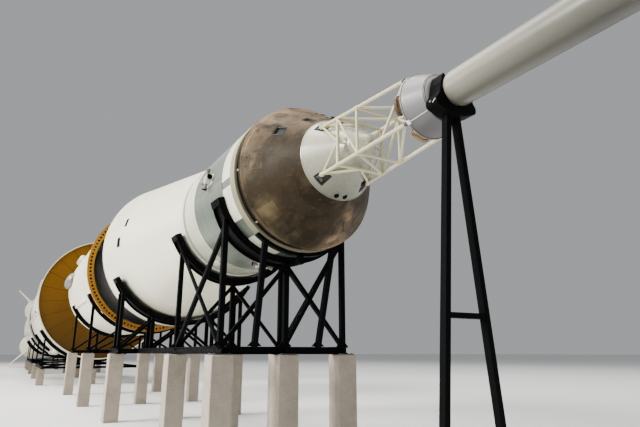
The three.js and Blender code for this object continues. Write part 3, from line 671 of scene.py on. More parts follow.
def hot_metal(name, color, roughness=0.36):
    """Engine metal stained by heat: blue and straw clouds, soot in the hollows."""
    recipe = Recipe(name, color, roughness, 0.85)
    clouds = recipe.noise(8, 5, 0.6, 0.6)
    recipe.stain(clouds, 0.4, 0.62, 1, (0.42, 0.3, 0.17))
    recipe.stain(recipe.noise(14, 3), 0.58, 0.74, 0.6, (0.16, 0.17, 0.22))
    recipe.stain(recipe.noise(45, 6, 0.7), 0.55, 0.8, 0.7, (0.05, 0.045, 0.04))
    recipe.gloss(clouds, roughness - 0.08, roughness + 0.2)
    recipe.bump(recipe.noise(150, 3), 0.0002)
    return recipe.material


def foam(name, color, low=None):
    """Sprayed insulation: mottled mustard, with a knobbly surface, darker stains and, when low is given, painted shade
    towards the bottom.
    """
    recipe = Recipe(name, color, 0.62, specular=0.12)
    recipe.color = times(color, 1.1)
    recipe.stain(recipe.noise(2.4, 5, 0.6, 0.5), 0.36, 0.7, 1, times(color, 0.72))
    recipe.stain(recipe.noise(60, 3), 0.5, 0.8, 0.4, times(color, 0.6))
    # Painted shade: darker towards the bottom when low is given.
    recipe.shade_below(low)
    recipe.bump(recipe.noise(30), 0.0012)
    recipe.bump(recipe.noise(160, 2), 0.0004)
    return recipe.material


def black_paint(name, color, roughness=0.42):
    """Satin black on steel: scuffs, dust on it and a slight grain."""
    recipe = Recipe(name, color, roughness, specular=0.02)
    recipe.stain(recipe.noise(24, 6, 0.7), 0.55, 0.85, 0.25, (0.011, 0.0108, 0.0105))
    recipe.gloss(recipe.noise(60), roughness - 0.1, roughness + 0.14)
    recipe.bump(recipe.noise(320, 2), 0.0002, 0.4)
    return recipe.material


def cast(name, color):
    """Cast concrete: blotches, sandy grain and small pores."""
    recipe = Recipe(name, color, 0.88)
    grain = recipe.noise(340, 3, 0.6)
    recipe.stain(recipe.noise(14, 6, 0.65), 0.35, 0.7, 1, times(color, 0.66))
    recipe.stain(grain, 0.4, 0.7, 0.5, times(color, 1.3))
    pores = recipe.add("TexVoronoi", {"Vector": recipe.place, "Scale": 190}).outputs["Distance"]
    recipe.bump(recipe.ramp(pores, 0, 0.16), 0.0012, 0.4)
    recipe.bump(grain, 0.0006, 0.6)
    return recipe.material


def plain_metal(name, color, roughness, metallic):
    """Machined or cast metal with a little grain and uneven gloss."""
    recipe = Recipe(name, color, roughness, metallic)
    recipe.stain(recipe.noise(30, 5, 0.6), 0.35, 0.7, 1, times(color, 0.65))
    recipe.gloss(recipe.noise(90, 3), roughness - 0.08, roughness + 0.12)
    recipe.bump(recipe.noise(240, 2), 0.0002, 0.4)
    return recipe.material


def studio_cloth(name, color):
    """The studio's plain floor: one pale tone that drifts very slowly."""
    recipe = Recipe(name, color, 0.85, specular=0.1)
    recipe.stain(recipe.noise(0.35, 2), 0, 1, 1, times(color, 0.96))
    return recipe.material


def pane(name, color):
    """A coated pane with faint smears on it."""
    recipe = Recipe(name, color, 0.2, specular=0.1)
    recipe.stain(recipe.noise(60, rough=0.6), 0.45, 0.8, 0.5, times(color, 1.35))
    recipe.set(Alpha=0.9)
    recipe.gloss(recipe.noise(110, 3), 0.42, 0.6)
    return recipe.material


# For each finish: its slot in the table, its maker, its colour as three numbers or as one of the
# user's with a share, and the maker's other values. A low tone is painted shade: a colour and two heights.
FINISHES = {
    "white_paint": ("white_paint", enamel, ("white", 1)),
    "gloss_white": ("white_paint", enamel, ("white", 0.95), 0.22, 0.9, 0.4),
    # Painted shade: the cover's white is dimmed and darkens further towards its underside.
    "cover_white": ("white_paint", enamel, ("white", 0.72), 0.24, 0.9, 0.4,
                    ((0.13, 0.135, 0.092), -0.09, 0.055)),
    "housing_white": ("white_paint", enamel, ("white", 0.62), 0.3, 0.8, 0.2),
    # Painted shade: the tube's white is dimmed overall and darkens below and towards the nose.
    "tube_white": ("white_paint", enamel, ("white", 0.43), 0.34, 0.85, 0.2,
                   ((0.105, 0.1, 0.078), -0.03, 0.012), (0.52, 0.54, 0.8)),
    # Painted shade: the radiator panels darken towards the bottom.
    "radiator_white": ("white_paint", enamel, ("white", 1), 0.3, 0.92, 0.1,
                       ((0.5, 0.52, 0.41), -0.19, -0.02)),
    # Painted shade: the aft band darkens towards the bottom.
    "band_white": ("white_paint", enamel, ("white", 0.94), 0.34, 0.85, 0.1,
                   ((0.32, 0.34, 0.25), -0.19, 0.08)),
    "seam_grey": ("white_paint", enamel, ("white", 0.8), 0.5, 0.9, 0),
    # Painted shade: the cream ring darkens towards the bottom.
    "ring_cream": ("cream_paint", enamel, ("cream", 0.62), 0.42, 0.82, 0.05,
                   (("cream", 0.34), -0.15, 0.1)),
    "cream_paint": ("cream_paint", enamel, ("cream", 1), 0.42, 0.82, 0.05),
    # Painted shade: the escape skirt darkens towards the bottom.
    "skirt_grey": ("silver_paint", enamel, ("skirt", 1), 0.4, 0.86, 0.1,
                   ((0.095, 0.095, 0.098), -0.055, 0.045)),
    "black_stripe": ("black_steel", enamel, (0.022, 0.022, 0.024), 0.36, 0.7, 0.1),
    "joint_grey": ("silver_paint", enamel, (0.24, 0.24, 0.23), 0.5, 0.7, 0),
    # Painted shade: the handling ring darkens towards the bottom.
    "yellow_paint": ("yellow_paint", enamel, ("yellow", 1), 0.36, 0.6, 0.15,
                     ((0.26, 0.112, 0.004), -0.28, 0.12)),
    "brown_shield": ("brown_shield", scorched, ("shield_brown", 1)),
    "shield_light": ("brown_shield", scorched, ("shield_brown", 1), 1.75),
    "shield_dark": ("brown_shield", scorched, ("shield_brown", 1), 0.62),
    # Painted shade: the service module's skin turns dark green towards the bottom.
    "silver_skin": ("silver_skin", skin_metal, ("silver", 1), 0.36, 0.35,
                    ((0.075, 0.098, 0.07), -0.18, 0.13)),
    "dome_skin": ("silver_skin", skin_metal, ("silver", 0.9), 0.3, 0.7),
    "thrust_skin": ("silver_skin", skin_metal, ("silver", 0.75), 0.42, 0.6),
    "dark_gloss": ("dark_steel", skin_metal, (0.12, 0.12, 0.115), 0.32, 0.6),
    # Painted light: this dome grey is much lighter than the dark dome, standing in for light that reaches the third
    # stage's inside.
    "grey_dome": ("dark_steel", skin_metal, (0.5, 0.5, 0.49), 0.4, 0.3),
    "engine_metal": ("engine_metal", hot_metal, ("engine", 1)),
    "nozzle_brown": ("dark_steel", hot_metal, (0.075, 0.048, 0.034), 0.55),
    # Painted shade: the foam darkens towards the bottom.
    "orange_foam": ("orange_foam", foam, ("mustard", 1), ((0.06, 0.029, 0.003), -0.45, 0.3)),
    "foam_seam": ("orange_foam", foam, ("mustard", 0.28)),
    "couch_cloth": ("cream_paint", foam, (0.3, 0.28, 0.23)),
    "black_steel": ("black_steel", black_paint, ("black", 1)),
    # Painted shade: near-black for holes, gaps, slits and throats where only shade would be.
    "dark_hollow": (None, black_paint, (0.004, 0.004, 0.004), 0.6),
    "rubber": ("black_steel", black_paint, (0.03, 0.03, 0.03), 0.8),
    "bell_grey": ("dark_steel", plain_metal, (0.23, 0.22, 0.19), 0.4, 0.4),
    "base_grey": ("dark_steel", plain_metal, (0.1, 0.1, 0.1), 0.6, 0.2),
    "well_olive": ("dark_steel", plain_metal, (0.045, 0.04, 0.026), 0.7, 0),
    "dark_steel": ("dark_steel", plain_metal, ("steel", 1), 0.42, 0.8),
    "bright_steel": ("dark_steel", plain_metal, (0.52, 0.51, 0.49), 0.3, 0.9),
    "panel_grey": ("silver_paint", plain_metal, (0.2, 0.22, 0.22), 0.5, 0.1),
    "concrete": (None, cast, ("concrete", 1)),
    "window_glass": ("window_glass", pane, ("glass", 1)),
    "studio_floor": (None, studio_cloth, (0.8, 0.8, 0.79)),
}


def paint(finish):
    """The material of a finish, made the first time that a piece asks for it."""
    name = f"{finish}_finish"
    if name not in bpy.data.materials:
        _, make, color, *values = FINISHES[finish]
        make(name, tone(color), *values)
    return bpy.data.materials[name]


def user_color(label, default, note):
    """A colour that a user can change."""
    return bpy.props.FloatVectorProperty(
        name=label, description=note, default=default, subtype="COLOR", min=0.0, max=1.0
    )


class RocketFinish(bpy.types.PropertyGroup):
    """The colours of the paints, metals and coverings"""

    white: user_color("White", (0.84, 0.81, 0.64), "Warm white of the adapter and stages")
    cream: user_color("Cream", (0.56, 0.52, 0.325), "Paint of the escape tower")
    skirt: user_color("Skirt", (0.33, 0.325, 0.33), "Light grey of the escape motor's skirt")
    silver: user_color("Silver", (0.195, 0.228, 0.188), "Skin of the service module")
    # Shield tan is also the colour of the painted highlight at the shield's top and of its painted reflection streak.
    shield_tan: user_color("Shield tan", (0.215, 0.142, 0.082), "Light tone of the heat shield")
    shield_brown: user_color("Shield brown", (0.027, 0.0175, 0.007), "Dark tone of the shield")
    yellow: user_color("Yellow", (0.52, 0.235, 0.008), "Paint of the handling ring")
    mustard: user_color("Mustard", (0.2, 0.088, 0.005), "Foam on the second stage's dome")
    black: user_color("Black", (0.003, 0.0033, 0.0035), "Paint of the cradles")
    steel: user_color("Steel", (0.13, 0.13, 0.13), "Gimbals and fittings")
    engine: user_color("Engine", (0.36, 0.33, 0.3), "Engine bells and chambers")
    glass: user_color("Glass", (0.034, 0.045, 0.048), "Window panes")
    concrete: user_color("Concrete", (0.36, 0.31, 0.25), "Piers under the cradles")


class RocketDetail(bpy.types.PropertyGroup):
    """How finely the surfaces are worked"""

    sides: bpy.props.IntProperty(
        name="Sides", description="Sides of the large round pieces", default=144, min=48, max=288
    )
    seam: bpy.props.FloatProperty(
        name="Seam", description="Width of a gap between skin panels", default=0.0012, min=0.0005,
        max=0.004, unit="LENGTH"
    )
    stringer: bpy.props.FloatProperty(
        name="Stringer", description="Height of the stringers on the skirts", default=0.0035,
        min=0.001, max=0.006, unit="LENGTH"
    )
    bolts: bpy.props.IntProperty(
        name="Bolt holes", description="Holes round the handling ring", default=108, min=24, max=160
    )


class RocketStudio(bpy.types.PropertyGroup):
    """The camera and the light"""

    lens: bpy.props.FloatProperty(
        name="Lens", description="Focal length in millimetres on a 36 mm sensor", default=28.84,
        min=10.0, max=100.0
    )
    eye: bpy.props.FloatVectorProperty(
        name="Eye", description="Where the camera stands", default=(5.8324, -0.6133, 0.2643),
        subtype="XYZ", unit="LENGTH"
    )
    gaze: bpy.props.FloatVectorProperty(
        name="Gaze", description="The direction that the camera looks in",
        default=(-0.8365, 0.4818, 0.2612), subtype="DIRECTION"
    )
    brightness: bpy.props.FloatProperty(
        name="Brightness", description="Strength of all the lamps together", default=1.0, min=0.1,
        max=5.0
    )


# Escape tower and capsule

SKIRT_BASE, SKIRT_STEP = 0.465, 0.507
LEG_ANGLES = (47.5, 132.5, 227.5, 312.5)
LEG_FOOT, LEG_TOP = (0.168, 0.0862), (0.47, 0.0634)


def on_leg(leg, t):
    """The point a share t of the way up one of the escape tower's legs, counted from 0."""
    foot, top = (around(*end, LEG_ANGLES[leg % 4]) for end in (LEG_FOOT, LEG_TOP))
    return foot + (top - foot) * t


def on_legs(start, end, radius, sides=14):
    """Four rods, one along each leg between two shares of its length."""
    return rods(*([on_leg(k, t) for k in range(4)] for t in (start, end)), radius, sides)


class ROCKET_OT_escape_motor(bpy.types.Operator):
    """Turns the escape motor's tube with its joints, nose and two tapered vanes"""

    bl_idname = "rocket.escape_motor"
    bl_label = "Escape motor"

    def execute(self, context):
        rear, r = span("escape_skirt")[1] + 0.0003, TUBE_R
        edge = [(rear + 0.014 * (1 - cos(a)), r - 0.009 * (1 - sin(a))) for a in np.linspace(0, pi / 2, 7)]
        tube = lathe([(rear, 0), *edge, *groove(0.872, r), *groove(1.021, r, 0.003, -0.0008, 0.9111111),
                      (1.06, r), *groove(1.0615, r - 0.0004), (1.144, 0.0101), (1.146, 0.0101),
                      (1.158, 0.006), (1.186, 0.003), (1.1895, 0.0014), (1.1895, 0)])
        vanes = [prism([(1.0705, 0), (1.1035, 0), (1.098, side * 0.0618), (1.078, side * 0.0618)],
                       -0.0015, -0.0005, 0.0005, 0.0015) for side in PAIR]
        hubs = [rods((1.087, side * 0.022, 0), (1.087, side * 0.03, 0), 0.01) for side in PAIR]
        screws = on_side(disc(0.0011, 0.00077, 8), 0.88, r - 0.0002, spread(12))
        piece("escape_motor", [tube, vanes, hubs, screws], "tube_white")
        return {"FINISHED"}


class ROCKET_OT_escape_skirt(bpy.types.Operator):
    """Builds the skirt behind the motor: stepped cone, seam strips, leg fittings and nozzles"""

    bl_idname = "rocket.escape_skirt"
    bl_label = "Escape motor's skirt"

    def execute(self, context):
        base, step, front = SKIRT_BASE, SKIRT_STEP, span("escape_skirt")[1]
        skirt_r = lambda x: 0.0647 - (x - base) * 0.44
        shell = lathe([
            (base + 0.004, 0), (base + 0.004, 0.057), (base, 0.0605), (base, 0.0649),
            (base + 0.0025, 0.0649), (base + 0.0025, skirt_r(base + 0.0025)), (step, skirt_r(step)),
            (step + 0.0003, 0.0445), (step + 0.0014, 0.044), (step + 0.0018, 0.042),
            (step + 0.003, 0.041), (step + 0.005, 0.0375), (step + 0.0056, 0.03), (front, 0.03), (front, 0),
        ])
        strips = [panel(base + 0.003, step - 0.001, a - 0.7, a + 0.7, skirt_r, 0.0009, 0.001)
                  for a in LEG_ANGLES]
        strips.append(rods(around(step - 0.004, skirt_r(step), 132.5), around(0.543, 0.06, 120.5), 0.0006, 8))
        piece("escape_skirt", [shell], "skirt_grey")
        piece("escape_skirt_strips", strips, "gloss_white")
        fitting = box(-0.003, 0.006, -0.0042, 0.0042, -0.0075, 0.0012)
        piece("escape_skirt_fittings", on_side(fitting, base, 0.064, LEG_ANGLES), "gloss_white", 0.0005)
        piece("escape_skirt_nuts", [on_legs(0.956, 0.975, 0.0046, 8)], "dark_steel")
        cones = []
        for a in (0, 90, 180, 270):
            start, end = around(0.476, 0.028, a), around(0.4395, 0.049, a)
            length = float(np.linalg.norm(end - start))
            cone = [nozzle(length, 0.011, 0.0178, 0.0012), ring(length - 0.005, length, 0.0165, 0.019, 28)]
            cones += carried(cone, pointing(end - start), start)
        piece("escape_nozzles", cones, "nozzle_brown")
        return {"FINISHED"}


def pointing(direction):
    """Axes that turn a shape's own X into the given direction."""
    return unit(np.asarray(direction, float)), *crosswise(direction)


class ROCKET_OT_escape_tower(bpy.types.Operator):
    """Sets up the tower of round tubes with its frames, diagonals, V feet and joint sleeves"""

    bl_idname = "rocket.escape_tower"
    bl_label = "Escape tower"

    def execute(self, context):
        at, low, high = on_leg, 0.25, 0.48
        legs = [on_legs(0.035, 0.965, 0.0039), *(on_legs(t - 0.02, t + 0.02, 0.0046) for t in (low, high))]
        frames = [(at(k, low), at(k + 1, low)) for k in range(4)]
        thin = [(at(k, high), at(k + 1, high)) for k in range(4)]
        thin += [(at(k, low), at(k + 1, high)) for k in (0, 2)]
        thin += [(at(k + 1, low), at(k, high)) for k in (1, 3)]
        thin += [(at(k, 0.05), (at(k, low) + at(k + side, low)) / 2) for k in range(4) for side in PAIR]
        thin += [(at(1, 0.74), at(0, 0.97)), (at(2, high), at(1, 0.96)), (at(3, high), at(2, 0.96)),
                 (at(0, high), at(3, 0.72)), (at(1, high), at(3, low))]
        frames, thin = rods(*zip(*frames), 0.004), rods(*zip(*thin), 0.0031)
        feet = [ball(at(k, 0.04), 0.0062, 16) for k in range(4)]
        piece("escape_tower", [legs, frames, thin, feet], "cream_paint")
        piece("tower_foot_studs", [on_legs(-0.035, 0.04, 0.003)], "dark_steel")
        return {"FINISHED"}


COVER_BASE = 0.147
WELL_ANGLES = (42.6, 137.4, 222.6, 317.4)
WELL_REAR, WELL_FRONT, WELL_HALF = 0.158, 0.188, 9.6
HOLE_ANGLES = (174.3, 188.5, 5.7, 351.5)


class ROCKET_OT_forward_cover(bpy.types.Operator):
    """Builds the glossy cover over the capsule's top, with the wells for the tower's feet"""

    bl_idname = "rocket.forward_cover"
    bl_label = "Capsule's forward cover"

    def execute(self, context):
        profile = [(x, cone_radius(x)) for x in (COVER_BASE, 0.15, WELL_REAR, 0.173, WELL_FRONT, 0.21, 0.232)]
        profile += [(0.237, 0.0425), (0.247, 0.04), (0.256, 0.0352), (0.264, 0.0292), (0.272, 0.0225),
                    (0.28, 0.0165), (0.286, 0.011), (0.289, 0.005), (0.29, 0.0002)]
        stations, radii = np.array(profile).T[:, :, None]
        edges = [a + side * WELL_HALF for a in WELL_ANGLES for side in PAIR]
        angles = grid_with(edges, np.arange(0, 360, 3.0), 0.7)
        middle = angles + np.diff(np.append(angles, 360)) / 2
        in_well = np.any([np.abs(middle - a) < WELL_HALF for a in WELL_ANGLES], axis=0)
        keep = np.ones((len(profile) - 1, len(angles)), bool)
        keep[2:4] = ~in_well
        shell = wall(stations, angles, radii, np.maximum(radii - 0.0125, 0.0001), keep, wrap=True)
        rim = lathe([(COVER_BASE - 0.0004, 0.09), (COVER_BASE - 0.0004, 0.1008), (0.1488, 0.0998),
                     (0.1492, 0.098), (0.148, 0.09)])
        piece("capsule_forward_cover", [shell, rim], "cover_white")
        hole_x = 0.156
        # Painted shade: near-black discs stand for the holes in the cover.
        piece("cover_hollows", on_cone(disc(0.0062, 0.0004, 28), hole_x, HOLE_ANGLES), "dark_hollow")
        core = lathe([(0.15, 0), (0.15, 0.086), (0.205, 0.05), (0.205, 0)])
        linings = [panel(x0, x1, a + a0, a + a1, cone_radius, -0.0008, 0.013)
                   for a in WELL_ANGLES for x0, x1, a0, a1 in (
                       (WELL_REAR, WELL_FRONT, -WELL_HALF, 0.8 - WELL_HALF),
                       (WELL_REAR, WELL_FRONT, WELL_HALF - 0.8, WELL_HALF),
                       (WELL_REAR, WELL_REAR + 0.0012, -WELL_HALF, WELL_HALF),
                       (WELL_FRONT - 0.0012, WELL_FRONT, -WELL_HALF, WELL_HALF))]
        piece("cover_well_linings", [core, linings], "well_olive")
        lugs = [on_cone(box(*low_and_high, -0.012, z), 0.173, WELL_ANGLES) for *low_and_high, z in (
            (-0.013, -0.006, -0.0075, 0.0075, -0.0045), (-0.006, 0.004, 0.0066, 0.0086, -0.0032))]
        rims = on_cone(carried(ring(0, 0.0007, 0.0061, 0.007, 28), UPRIGHT), hole_x, HOLE_ANGLES)
        piece("cover_brackets", [lugs, rims], "base_grey", 0.0004)
        return {"FINISHED"}


def grid_with(marks, grid, clear):
    """A grid of values together with marks, without the values that are too near to a mark."""
    marks = np.unique(np.round(marks, 9))
    grid = grid[np.abs(grid[:, None] - marks).min(axis=1) > clear]
    return np.sort(np.concatenate([grid, marks]))


# Station, angle, half length up the slope, half width
WINDOWS = {
    "left_side": (0.0795, 58.7, 0.015, 0.013), "left_forward": (0.117, 31.0, 0.017, 0.009),
    "right_forward": (0.117, -31.0, 0.017, 0.009), "right_side": (0.0795, -58.7, 0.015, 0.013),
}
HATCH_X, HATCH_LENGTH, HATCH_WIDTH, HATCH_GAP = 0.086, 0.043, 0.037, 0.0015
CONE_WALL = 0.009
CONE_DEPTH = CONE_WALL / cos(CONE_ANGLE)


def hatch_angle(x, inset=0.0):
    """The angle at which the hatch's straight side lies on the cone at a station."""
    return np.degrees(np.arcsin((HATCH_WIDTH - inset) / cone_radius(x)))


def cone_patches(*patches):
    """Thin plates on the capsule's wall, each from one station and angle to another."""
    return [panel(*patch, cone_radius, 0.0004, 0.0006) for patch in patches]


class ROCKET_OT_capsule_cone(bpy.types.Operator):
    """Builds the capsule's wall with its openings, rim, patches, small thrusters and panel edges"""

    bl_idname = "rocket.capsule_cone"
    bl_label = "Capsule's wall"

    def execute(self, context):
        rise = HATCH_LENGTH * cos(CONE_ANGLE)
        low, high, rear, front = HATCH_X - rise, HATCH_X + rise, 0.0032, 0.1463
        spans = []
        for x, a, length, width in WINDOWS.values():
            dx, turn = length * cos(CONE_ANGLE), np.degrees(width / cone_radius(x))
            spans.append((x - dx, x + dx, a - turn, a + turn))
        openings, edge = np.array(spans), hatch_angle(HATCH_X)
        rows = np.round([rear, 0.006, low, high, front, *openings[:, :2].ravel()], 6)
        rows = grid_with(rows, np.arange(0.01, front, 0.006), 0.0012)
        turns = grid_with([-edge, edge, *openings[:, 2:].ravel()], np.arange(-180, 180, 2.5), 0.8)
        warp = hatch_angle(np.clip(rows, low, high))[:, None] / edge
        angles = np.where(np.abs(turns) <= edge + 1e-6, turns * warp, turns)
        middle_x = (rows[:-1] + rows[1:])[:, None] / 2
        middle_a = (turns + np.append(turns[1:], 180)) / 2
        keep = ~((middle_x > low) & (middle_x < high) & (np.abs(middle_a) < edge))
        for x0, x1, a0, a1 in spans:
            keep &= ~((middle_x > x0) & (middle_x < x1) & (middle_a > a0) & (middle_a < a1))
        radii = cone_radius(rows)[:, None]
        shell = wall(rows[:, None], angles, radii, radii - CONE_DEPTH, keep, wrap=True)
        lid = lathe([(0.138, 0), (0.138, 0.097), (0.1465, 0.092), (0.1465, 0)])
        lugs = [on_cone(box(side * 0.018, side * 0.024, 0.0395, 0.0445, -0.006, 0.0062), HATCH_X, 0)
                for side in PAIR]
        piece("capsule_cone", [shell, lid, lugs], "brown_shield")
        piece("capsule_rim", [lathe([(0.003, 0.185), (0.003, cone_radius(0.003)), (0.004, 0.1938),
                                     (0.0062, 0.1922), (0.0066, 0.1905), (0.0066, 0.185)])], "shield_light")
        light = cone_patches((0.029, 0.059, 82, 97), (0.013, 0.056, 127, 142), (0.01, 0.014, 60, 78),
                             (0.02, 0.042, 193, 202), (0.052, 0.064, -97, -84), (0.02, 0.06, -140, -124),
                             (0.078, 0.11, 200, 214))
        light += [outline_strips(0.015, 0.059, *turns, cone_radius, 0.0007, 0.0014)
                  for turns in ((98.5, 110), (-110, -98.5))]
        piece("capsule_patches", light, "shield_light")
        dark = cone_patches((0.03, 0.056, 167, 180), (0.03, 0.05, 226, 240), (0.024, 0.048, 148, 159),
                            (0.01, 0.026, 160, 169))
        dark += [outline_strips(x0 - 0.0016, x1 + 0.0016, a0 - 0.8, a1 + 0.8, cone_radius, 0.0005, 0.0013)
                 for x0, x1, a0, a1 in spans]
        piece("capsule_dark_patches", dark, "shield_dark")
        rim, throat = carried(ring(-0.001, 0.0006, 0.0021, 0.0031, 20), UPRIGHT), disc(0.0022, 0.0003)
        rims, throats = ([on_cone(shape, x, angles) for x, angles in (
            (0.019, (85.6, 92.9, -85.6, -92.9)), (0.048, (184, 176)), (0.136, (12, -12)))]
            for shape in (rim, throat))
        piece("capsule_thruster_rims", rims, "shield_light")
        # Painted shade: near-black discs stand for the thrusters' open throats.
        piece("capsule_thruster_throats", throats, "dark_hollow")
        return {"FINISHED"}


class ROCKET_OT_capsule_windows(bpy.types.Operator):
    """Glazes the four windows behind the wall, each in a dark sill"""

    bl_idname = "rocket.capsule_windows"
    bl_label = "Capsule's windows"

    def execute(self, context):
        sills, wide = [], 0.001
        for name, (x, a, length, width) in WINDOWS.items():
            half, side = length - 0.0004, width - 0.0004
            glass = on_cone(box(-half, half, -side, side, -0.0075, -0.0052), x, a)
            piece(f"capsule_window_{name}_pane", glass, "window_glass", node=f"capsule_window_{name}")
            edges = [(-length, length, width - wide, width), (-length, length, -width, wide - width),
                     (length - wide, length, -width, width), (-length, wide - length, -width, width)]
            sills += [on_cone(box(*edge, -0.0052, -0.0008), x, a) for edge in edges]
        piece("capsule_window_sills", sills, "dark_steel")
        return {"FINISHED"}


class ROCKET_OT_capsule_hatch(bpy.types.Operator):
    """Builds the hatch on its hinge, with its round window, vent, handle and edge seal"""

    bl_idname = "rocket.capsule_hatch"
    bl_label = "Capsule's hatch"

    def execute(self, context):
        rise = (HATCH_LENGTH - HATCH_GAP) * cos(CONE_ANGLE)
        rows = np.linspace(HATCH_X - rise, HATCH_X + rise, 13)[:, None]
        turns = np.linspace(-1, 1, 15) * hatch_angle(rows, HATCH_GAP)
        r = cone_radius(rows)
        outer = wall(rows, turns, r, r - CONE_DEPTH / 2)
        inner = wall(rows * 0.96 + HATCH_X * 0.04, turns * 0.95, r - CONE_DEPTH / 2, r - CONE_DEPTH)
        place = lambda *shapes: on_cone(list(shapes), HATCH_X, 0)
        across = lambda reach, r, sides: rods((-reach, 0.042, 0.0032), (reach, 0.042, 0.0032), r, sides)
        arms = [box(s * 0.0135 - half, s * 0.0135 + half, *rest) for s in PAIR for half, *rest in (
            (0.0035, 0.026, 0.042, 0.0007, 0.0046), (0.0045, 0.0245, 0.032, -0.006, 0.003))]
        piece("capsule_hatch", [outer, inner], "brown_shield", body="hatch")
        window = carried(ring(-0.002, 0.0011, 0.0085, 0.0112, 36), UPRIGHT, (0.016, 0, 0))
        vent = carried(ring(-0.001, 0.0009, 0.003, 0.005, 24), UPRIGHT, (-0.024, -0.016, 0))
        handle = pipe([(-0.014, y, z) for y, z in
                       ((-0.006, -0.001), (-0.006, 0.0026), (0.01, 0.0026), (0.01, -0.001))], 0.0011)
        piece("hatch_fittings", place(*arms, across(0.017, 0.003, 20), across(0.0236, 0.0016, 16), window,
                                      vent, handle), "dark_steel", 0.0003, "hatch")
        piece("hatch_window", place(*moved(disc(0.0086, 0.0006, 36), (0.016, 0, 0))), "window_glass",
              body="hatch")
        inside = [box(-0.03, 0.024, y - 0.0015, y + 0.0015, -0.0118, -0.0088) for y in (-0.022, 0.022)]
        crank = rods((-0.01, 0, -0.008), (-0.01, 0, -0.016), 0.003, 16)
        bar = box(-0.013, 0.01, -0.002, 0.002, -0.018, -0.015)
        piece("hatch_inside", place(*inside, crank, bar), "panel_grey", 0.0003, "hatch")
        return {"FINISHED"}


class ROCKET_OT_capsule_inside(bpy.types.Operator):
    """Builds the heat shield and the cabin: floor, three couches, panel with its dials and lockers"""

    bl_idname = "rocket.capsule_inside"
    bl_label = "Heat shield and cabin"

    def execute(self, context):
        sphere, couches = 0.469, (-0.048, 0, 0.048)
        depth = lambda r: sqrt(sphere**2 - r * r) - sqrt(sphere**2 - CRAFT_R**2)
        back = [(-0.004 - depth(r), r) for r in np.linspace(0.1895, 0, 16)]
        shield = lathe([(0.0027, 0), (0.0027, 0.1935), (0.0018, 0.195), (0.0004, 0.1953),
                        (-0.0015, 0.1949), (-0.0032, 0.1934), (-0.004, 0.1915), *back])
        piece("capsule_heat_shield", [shield], "shield_dark")
        floor = lathe([(0.003, 0), (0.003, 0.172), (0.012, 0.172), (0.012, 0)])
        ribs = [box(0.012, 0.0145, y - 0.0015, y + 0.0015, -0.15, 0.15) for y in (-0.09, -0.024, 0.024, 0.09)]
        board = box(0.0975, 0.106, -0.078, 0.078, -0.026, 0.034)
        posts = [box(0.011, 0.1, y - 0.003, y + 0.003, -0.008, 0.008) for y in (-0.076, 0.076)]
        beams = [bars((0.012, y + s * 0.012, z), (0.033, y + s * 0.012, z), 0.004, 0.004, Y)
                 for y in couches for s in PAIR for z in (-0.045, 0.055)]
        lockers = [box(0.012, 0.055, side * 0.125 - 0.018, side * 0.125 + 0.018, z, z + 0.032)
                   for side in PAIR for z in (-0.055, -0.018, 0.019)]
        piece("cabin_frame", [floor, ribs, board, posts, beams, lockers], "panel_grey", 0.0007,
              node="capsule_cabin")
        cushions = ((0.0405, 0.0195, -0.049, -0.0075), (0.0405, 0.0195, -0.0065, 0.035),
                    (0.0425, 0.0125, 0.04, 0.06))
        cloth = [box(0.033, x, y - half, y + half, z0, z1) for y in couches for x, half, z0, z1 in cushions]
        cloth += [box(0.034, 0.064, y - 0.019, y + 0.019, -0.058, -0.05) for y in couches]
        piece("cabin_couches", cloth, "couch_cloth", 0.003)
        rests = [box(0.033, 0.052, y + side, y + side + 0.003, -0.02, 0.018)
                 for y in couches for side in (-0.0235, 0.0205)]
        rows, columns = np.meshgrid(np.linspace(-0.021, 0.029, 8), np.linspace(-0.072, 0.072, 25))
        spots = np.column_stack([np.full(rows.size, 0.0971), columns.ravel(), rows.ravel()])
        shown = (np.abs(np.abs(spots[:, 1]) - 0.036) > 0.013) | (spots[:, 2] < -0.005)
        switches = blocks(spots[shown], (0.001, 0.0012, 0.0018))
        dials = [box(0.0958, 0.098, s * 0.036 - 0.0095, s * 0.036 + 0.0095, 0.004, 0.024) for s in PAIR]
        piece("cabin_controls", [rests, switches, dials], "bright_steel")
        return {"FINISHED"}


# Service module and adapter, by their stations

RING_FRONT, RING_STEP, CREAM_END, BAND_END = -0.032, -0.0122, -0.059, -0.119
AFT_BAND, JOINT, ADAPTER_FRONT, ADAPTER_END = -0.369, -0.473, -0.4923, -1.3
RADIATORS = ((12, 50), (54, 94), (100, 127), (143, 168))
SIDE_ANGLES = (82.75, 172.75, 262.75, 352.75)
CLIP_ANGLES = (2, 47, 92, 135, 180, 225, 268, 313)


def adapter_radius(x):
    """The adapter's outside radius, which grows evenly from the service module to the stage."""
    share = (ADAPTER_FRONT - x) / (ADAPTER_FRONT - ADAPTER_END)
    return CRAFT_R + share * (THIRD_R - CRAFT_R)


